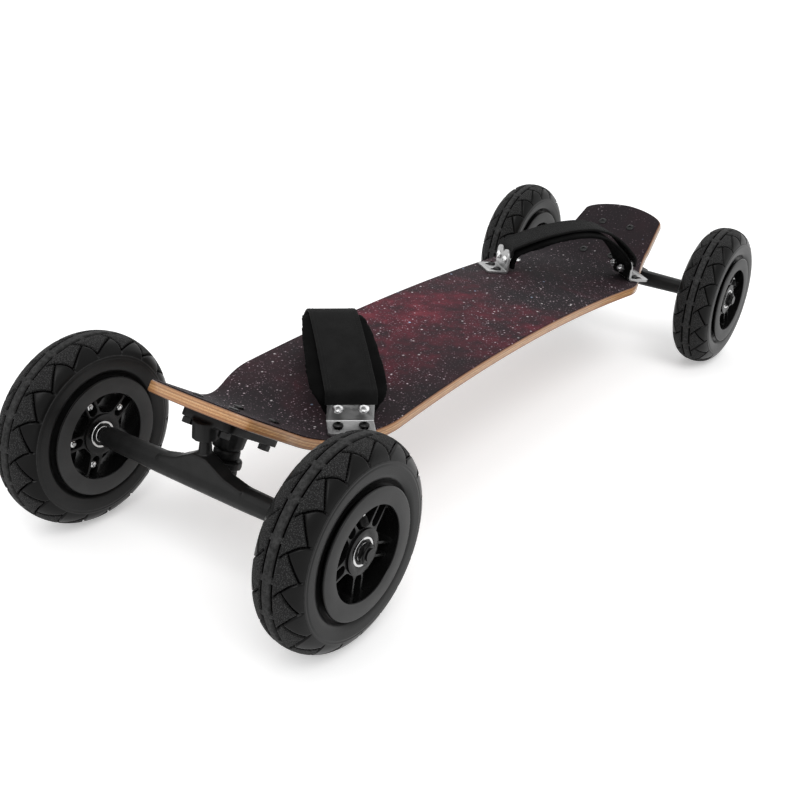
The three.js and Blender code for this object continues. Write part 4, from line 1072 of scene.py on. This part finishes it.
def pad_section(thickness):
    t = thickness / 2
    top = [(w, t * (1 - 0.15 * abs(w))) for w in (-0.8, -0.6, -0.4, -0.2, 0, 0.2, 0.4, 0.6, 0.8)]
    return with_opposite(top + [(0.95 + 0.05 * math.sin(a), t * 0.85 * math.cos(a))
                                for a in np.linspace(0, math.pi, 7)])


def pad_width(share):
    return PAD_WIDTH + PAD_SWELL * float(np.interp(share, *PAD_SWELLS))


# The pad's cloth, swollen from a thinner shape and held along the sewn rim

PAD_START = 0.0052
PAD_VOXEL = 0.0028
PAD_RISE = 0.0015
PAD_PRESSURE = 4
SEAM_AT = 0.86
SEAM_SINK = 0.0007
SEAM_SPREAD = 0.04
SWELL_FRAMES = 20


def vertex_values(obj, key):
    values = np.empty(len(obj.data.vertices) * 3)
    obj.data.vertices.foreach_get(key, values)
    return values.reshape(-1, 3)


def across_of(points, source):
    """How far across the source band the nearest of its points lies, for each point."""
    tree = KDTree(len(source.data.vertices))
    for i, vertex in enumerate(source.data.vertices):
        tree.insert(vertex.co, i)
    tree.balance()
    layer = source.data.attributes["across"].data
    return np.abs([layer[tree.find(p)[1]].value for p in points])


def swollen(obj, source):
    """Swells the pad as cloth under a light pressure, with its rim held."""
    start = vertex_values(obj, "co")
    held = np.nonzero(across_of(start, source) > SEAM_AT)[0]
    obj.vertex_groups.new(name="rim").add(held.tolist(), 1.0, "ADD")
    cloth = modify(obj, "CLOTH").settings
    cloth.vertex_group_mass = "rim"
    cloth.use_pressure = True
    cloth.uniform_pressure_force = PAD_PRESSURE
    cloth.effector_weights.gravity = 0
    scene = bpy.context.scene
    for step in range(1, SWELL_FRAMES + 1):
        scene.frame_set(step)
    applied(obj)
    moved = vertex_values(obj, "co") - start
    size = np.linalg.norm(moved, axis=1, keepdims=True)
    capped = start + moved * np.minimum(1, PAD_RISE / np.maximum(size, 1e-9))
    obj.data.vertices.foreach_set("co", capped.ravel())
    scene.frame_set(1)


def seamed(obj, source):
    """One subdivision, then a shallow channel where the rim's seam pulls the cloth in."""
    modify(obj, "SUBSURF", levels=1, render_levels=1)
    applied(obj)
    points = vertex_values(obj, "co")
    off = (across_of(points, source) - SEAM_AT) / SEAM_SPREAD
    sink = SEAM_SINK * np.exp(-(off**2))[:, None]
    obj.data.vertices.foreach_set("co", (points - vertex_values(obj, "normal") * sink).ravel())
    obj.data.update()


def make_pad(end, spec, frames):
    inner = -GAP - PAD_THICKNESS / 2 - BRACKET_THICKNESS
    under = inner - STRAP_THICKNESS - GAP
    crest = spec["crest"] - STRAP_THICKNESS - PAD_GAP - PAD_THICKNESS / 2
    path = band_path(spec, frames, (under, inner), PAD_LEGS, PAD_SPRING, crest, PAD_FOLD)
    start = band(f"{end}_pad_form", frames, path, pad_width, pad_section(PAD_START), [FOAM])
    pad = linked(f"{end}_foot_pad", start.data.copy())
    modify(pad, "REMESH", mode="VOXEL", voxel_size=PAD_VOXEL, use_smooth_shade=True)
    applied(pad)
    modify(pad, "SMOOTH", factor=0.5, iterations=3)
    applied(pad)
    swollen(pad, start)
    seamed(pad, start)
    smooth(pad, 180)
    bpy.data.objects.remove(start)
    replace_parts(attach(pad, "board"), f"{end}_pad")


# A stitch's four rings: a place along it as a share of half its length, and a radius
STITCH = ((-1, 0.00008), (-0.5, 0.00028), (0.5, 0.00028), (1, 0.00008))
STITCH_HALF = 0.0013


def stitches(name, frames, path):
    """Short threads along the strap's face, in rows across it."""
    verts, faces = [], []
    steps = list(steps_of(frames, path))[2:-2]
    for row in SEAM_ROWS:
        for point, share, ahead, side, up in steps:
            if not SEAM_SHARES[0] < share < SEAM_SHARES[1]:
                continue
            middle = point + side * row + up * STRAP_THICKNESS / 2
            length = ahead.normalized() * min(ahead.length * 0.3, STITCH_HALF)
            first = len(verts)
            for k, radius in STITCH:
                verts += [middle + length * k + side * x + up * y for x, y in circle(radius, 6)]
            faces += [*(ring_faces(4, 6, False) + first), range(first + 5, first - 1, -1),
                      range(first + 18, first + 24)]
    return new_object(name, verts, faces, [THREAD], 60)


def bracket_hardware(name, frame, pad_face):
    """Two strap bolts with their nuts on the pad's side, and two screws through the deck."""
    out = spin(-math.pi / 2, "X")
    parts = []
    for x in BOLT_PLACES:
        head = button_bolt("head", *STRAP_BOLT, BOLT_END - pad_face, BRIGHT)
        head.data.transform(move(x, GAP, BOLT_HEIGHT) @ out)
        nut = nut_mesh("nut", *STRAP_NUT, BRIGHT)
        nut.data.transform(move(x, pad_face, BOLT_HEIGHT) @ out.inverted())
        screw = button_bolt("screw", *SCREW, SCREW_LENGTH, DARK_STEEL)
        screw.data.transform(move(x, SLOT_MIDDLE, BRACKET_THICKNESS))
        parts += [head, nut, screw]
    bolts = joined(parts, name)
    bolts.data.transform(frame)
    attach(bolts, "board")


def make_bindings():
    inside = -GAP - STRAP_THICKNESS / 2 - BRACKET_THICKNESS
    outside = GAP + STRAP_THICKNESS / 2
    pad_face = -GAP - BRACKET_THICKNESS - PAD_THICKNESS
    plate = bracket_mesh()
    for end, spec in BINDINGS.items():
        frames = [bracket_frame(spec, -1), bracket_frame(spec, 1)]
        path = band_path(spec, frames, (inside, outside), STRAP_LEGS, BRACKET_HEIGHT + STRAP_THICKNESS,
                         spec["crest"] - STRAP_THICKNESS / 2, STRAP_FOLD)
        strap = band(f"{end}_strap_band", frames, path, lambda _: STRAP_WIDTH, strap_section(), [WEBBING])
        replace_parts(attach(strap, "board"), f"{end}_strap")
        sewn = stitches(f"{end}_strap_seams", frames, path)
        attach(sewn, "board")
        make_pad(end, spec, frames)
        bracket_hardware(f"{end}_left_bolts", frames[0], pad_face - STRAP_THICKNESS - GAP)
        bracket_hardware(f"{end}_right_bolts", frames[1], pad_face)
        for side, matrix in zip(SIDES, frames):
            placed(f"{end}_{side}_foot_plate", plate, matrix, "board", "bracket_steel",
                   f"{end}_{side}_bracket")


# Trucks

AXLE_BELOW = 0.07069
BASE_BOTTOM = -0.0203
TRUCK_BOLTS = ((0.026, 0.0225), (0.026, -0.0225), (-0.038, 0.0225), (-0.038, -0.0225))
TRUCK_BOLT = (0.0056, 0.0018, 0.003)
TRUCK_NUT = (0.0058, 0.0057, 0.0029)
BOLT_BELOW = 0.006
TRUCK_X = AXLE_X - AXLE_BELOW * math.sin(KICK_ANGLE)
TRUCK_Z = TYRE_RADIUS + AXLE_BELOW * math.cos(KICK_ANGLE)
BUSHING_STEPS = 13
BUSHING_WAIST = 0.14
BUSHING_FLARE = 0.0015


def truck_matrix(end):
    place = spin(0 if end > 0 else math.pi, "Z") @ move(TRUCK_X, 0, TRUCK_Z)
    return place @ spin(-KICK_ANGLE, "Y")


def bend_rise(s):
    """How far the deck's top stands above the plane of the tip at a place along it."""
    x = TRUCK_X + s * math.cos(KICK_ANGLE)
    return (deck_height(x) - TRUCK_Z - s * math.sin(KICK_ANGLE)) * math.cos(KICK_ANGLE)


def make_truck_bolts():
    for end, e in ENDS.items():
        for i, (s, y) in enumerate(TRUCK_BOLTS):
            low = GRIP_HIGH + GAP + bend_rise(s - TRUCK_BOLT[0])
            end_below = BASE_BOTTOM - BOLT_BELOW - low
            bolt = button_bolt("bolt", *TRUCK_BOLT, -end_below, DARK_STEEL)
            nut = nut_mesh("nut", *TRUCK_NUT, DARK_STEEL)
            nut.data.transform(move(0, 0, end_below))
            whole = taken(joined([bolt, nut], "truck_bolt"))
            place = truck_matrix(e) @ move(s, y, low)
            placed(f"{end}_deck_bolt_{i + 1}", whole, place, "board", "dark_steel",
                   f"{end}_truck_bolt_{i + 1}")


def turned_axis(points):
    """The direction of a short turned solid: the one along which its points spread least."""
    spread = np.cov((points - points.mean(0)).T)
    axis = Vector(np.linalg.eigh(spread)[1][:, 0])
    return axis if axis.z > 0 else -axis


def make_bushings():
    """Urethane rings between the board and the hanger, turned to the shape of the frame's bushings."""
    for end in ENDS:
        for kind, up in (("upper", 1), ("lower", -1)):
            node = f"{end}_{kind}_bushing"
            points = vertex_values(frame["nodes"][node], "co")
            middle, axis = points.mean(0), turned_axis(points)
            heights = (points - middle) @ np.array(axis)
            reach = np.linalg.norm(points - middle - heights[:, None] * np.array(axis), axis=1)
            half, eye, wide = heights.max(), reach.min(), reach.max()
            shares = np.linspace(-1, 1, BUSHING_STEPS)
            outside = [(wide * (1 - BUSHING_WAIST * k**4), k * half) for k in shares]
            inside = [(eye + BUSHING_FLARE * (1 - up * k) / 2, k * half) for k in reversed(shares)]
            ring = solid_lathe(f"{end}_{kind}_bushing_ring", outside + inside, 48, [URETHANE])
            place = Matrix.Translation(middle) @ to_axis(axis)
            ring.matrix_world = place
            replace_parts(ring, node)
            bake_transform(ring)


# Finishes of the frame's own nodes

FINISHES = {
    "truck_baseplate": SATIN, "truck_hanger": SATIN, "pivot_cup": URETHANE, "kingpin": DARK_STEEL,
    "kingpin_nut": BOLT, "axle": DARK_STEEL, "inner_tube": BUTYL,
}
NUT_EASE = 0.0004
CAST = ("truck_baseplate", "truck_hanger")
CAST_VOXEL = 0.0012


def dress_frame():
    for name, obj in frame["nodes"].items():
        keys = [k for k in FINISHES if k in name]
        if not keys or obj.hide_render:
            continue
        key = max(keys, key=len)
        obj.data.materials.clear()
        obj.data.materials.append(FINISHES[key])
        smooth(obj, 38)
        if key == "kingpin_nut":
            bevel(obj, NUT_EASE, 3, 38)
        if key in CAST:
            modify(obj, "REMESH", mode="VOXEL", voxel_size=CAST_VOXEL, use_smooth_shade=True)
            modify(obj, "SMOOTH", factor=0.5, iterations=4)


# Stage

CAMERA_PLACE = (-1.10252, -0.63592, 0.61251)
CAMERA_TARGET = (-0.16378, -0.02450, 0.09343)
CAMERA_ROLL = 0.0774
FOCAL_PIXELS = 1102.6
FRAME_PIXELS = 800
SENSOR = 36
WORLD_FILL = 0.5
FLOOR_HALF = 60
FLOOR_TONE = 0.88
FLOOR_LIFT = 0.38
# Each sun's direction of light, its strength and how wide it stands in the sky
SUNS = (
    ("key", (0.5, 0.55, -1.0), 1.15, 35),
    ("fill", (0.7, -0.5, -1.0), 0.5, 60),
    ("back", (-0.8, -0.3, -0.9), 0.45, 50),
)


def make_camera():
    place, target = Vector(CAMERA_PLACE), Vector(CAMERA_TARGET)
    ahead = (target - place).normalized()
    right = ahead.cross(Vector((0, 0, 1))).normalized()
    up = right.cross(ahead)
    c, s = math.cos(CAMERA_ROLL), math.sin(CAMERA_ROLL)
    right, up = c * right + s * up, c * up - s * right
    data = bpy.data.cameras.new("camera")
    data.sensor_width = SENSOR
    data.lens = FOCAL_PIXELS / FRAME_PIXELS * SENSOR
    data.clip_start, data.clip_end = 0.01, 50
    camera = linked("camera", data)
    camera.matrix_world = Matrix.Translation(place) @ Matrix((right, up, -ahead)).transposed().to_4x4()
    bpy.context.scene.camera = camera


def white_rays(tree):
    """One where the camera, a reflection or glass looks, and zero for the light itself."""
    path = add_node(tree, "ShaderNodeLightPath").outputs
    total = path["Is Camera Ray"]
    for name in ("Is Glossy Ray", "Is Transmission Ray"):
        total = add_node(tree, "ShaderNodeMath", {0: total, 1: path[name]}, operation="MAXIMUM").outputs[0]
    return total


def make_world(scene):
    scene.world = bpy.data.worlds.new("world")
    scene.world.use_nodes = True
    tree = scene.world.node_tree
    background = tree.nodes["Background"].inputs
    background["Color"].default_value = (1, 1, 1, 1)
    inputs = {"Value": white_rays(tree), "To Min": WORLD_FILL, "To Max": 1.0}
    strength = add_node(tree, "ShaderNodeMapRange", inputs)
    tree.links.new(strength.outputs[0], background["Strength"])


def floor_material():
    material = bpy.data.materials.new("floor")
    material.use_nodes = True
    tree = material.node_tree
    tree.nodes.remove(tree.nodes["Principled BSDF"])
    diffuse = add_node(tree, "ShaderNodeBsdfDiffuse", {"Color": (*(FLOOR_TONE,) * 3, 1)})
    lift = add_node(tree, "ShaderNodeMath", {0: white_rays(tree), 1: FLOOR_LIFT}, operation="MULTIPLY")
    glow = add_node(tree, "ShaderNodeEmission", {"Strength": lift.outputs[0]})
    total = add_node(tree, "ShaderNodeAddShader", {0: diffuse.outputs[0], 1: glow.outputs[0]})
    tree.links.new(total.outputs[0], tree.nodes["Material Output"].inputs["Surface"])
    return material


def make_stage():
    scene = bpy.context.scene
    scene.view_settings.view_transform = "Standard"
    make_world(scene)
    corners = [(x * FLOOR_HALF, y * FLOOR_HALF, 0) for x, y in ((-1, -1), (1, -1), (1, 1), (-1, 1))]
    new_object("floor", corners, [(0, 1, 2, 3)], [floor_material()])
    for name, direction, energy, width in SUNS:
        light = bpy.data.lights.new(name, "SUN")
        light.energy, light.angle = energy, math.radians(width)
        linked(name, light).rotation_euler = Vector(direction).to_track_quat("-Z", "Y").to_euler()


make_camera()
make_stage()
make_deck()
make_wheels()
make_bindings()
make_truck_bolts()
make_bushings()
dress_frame()
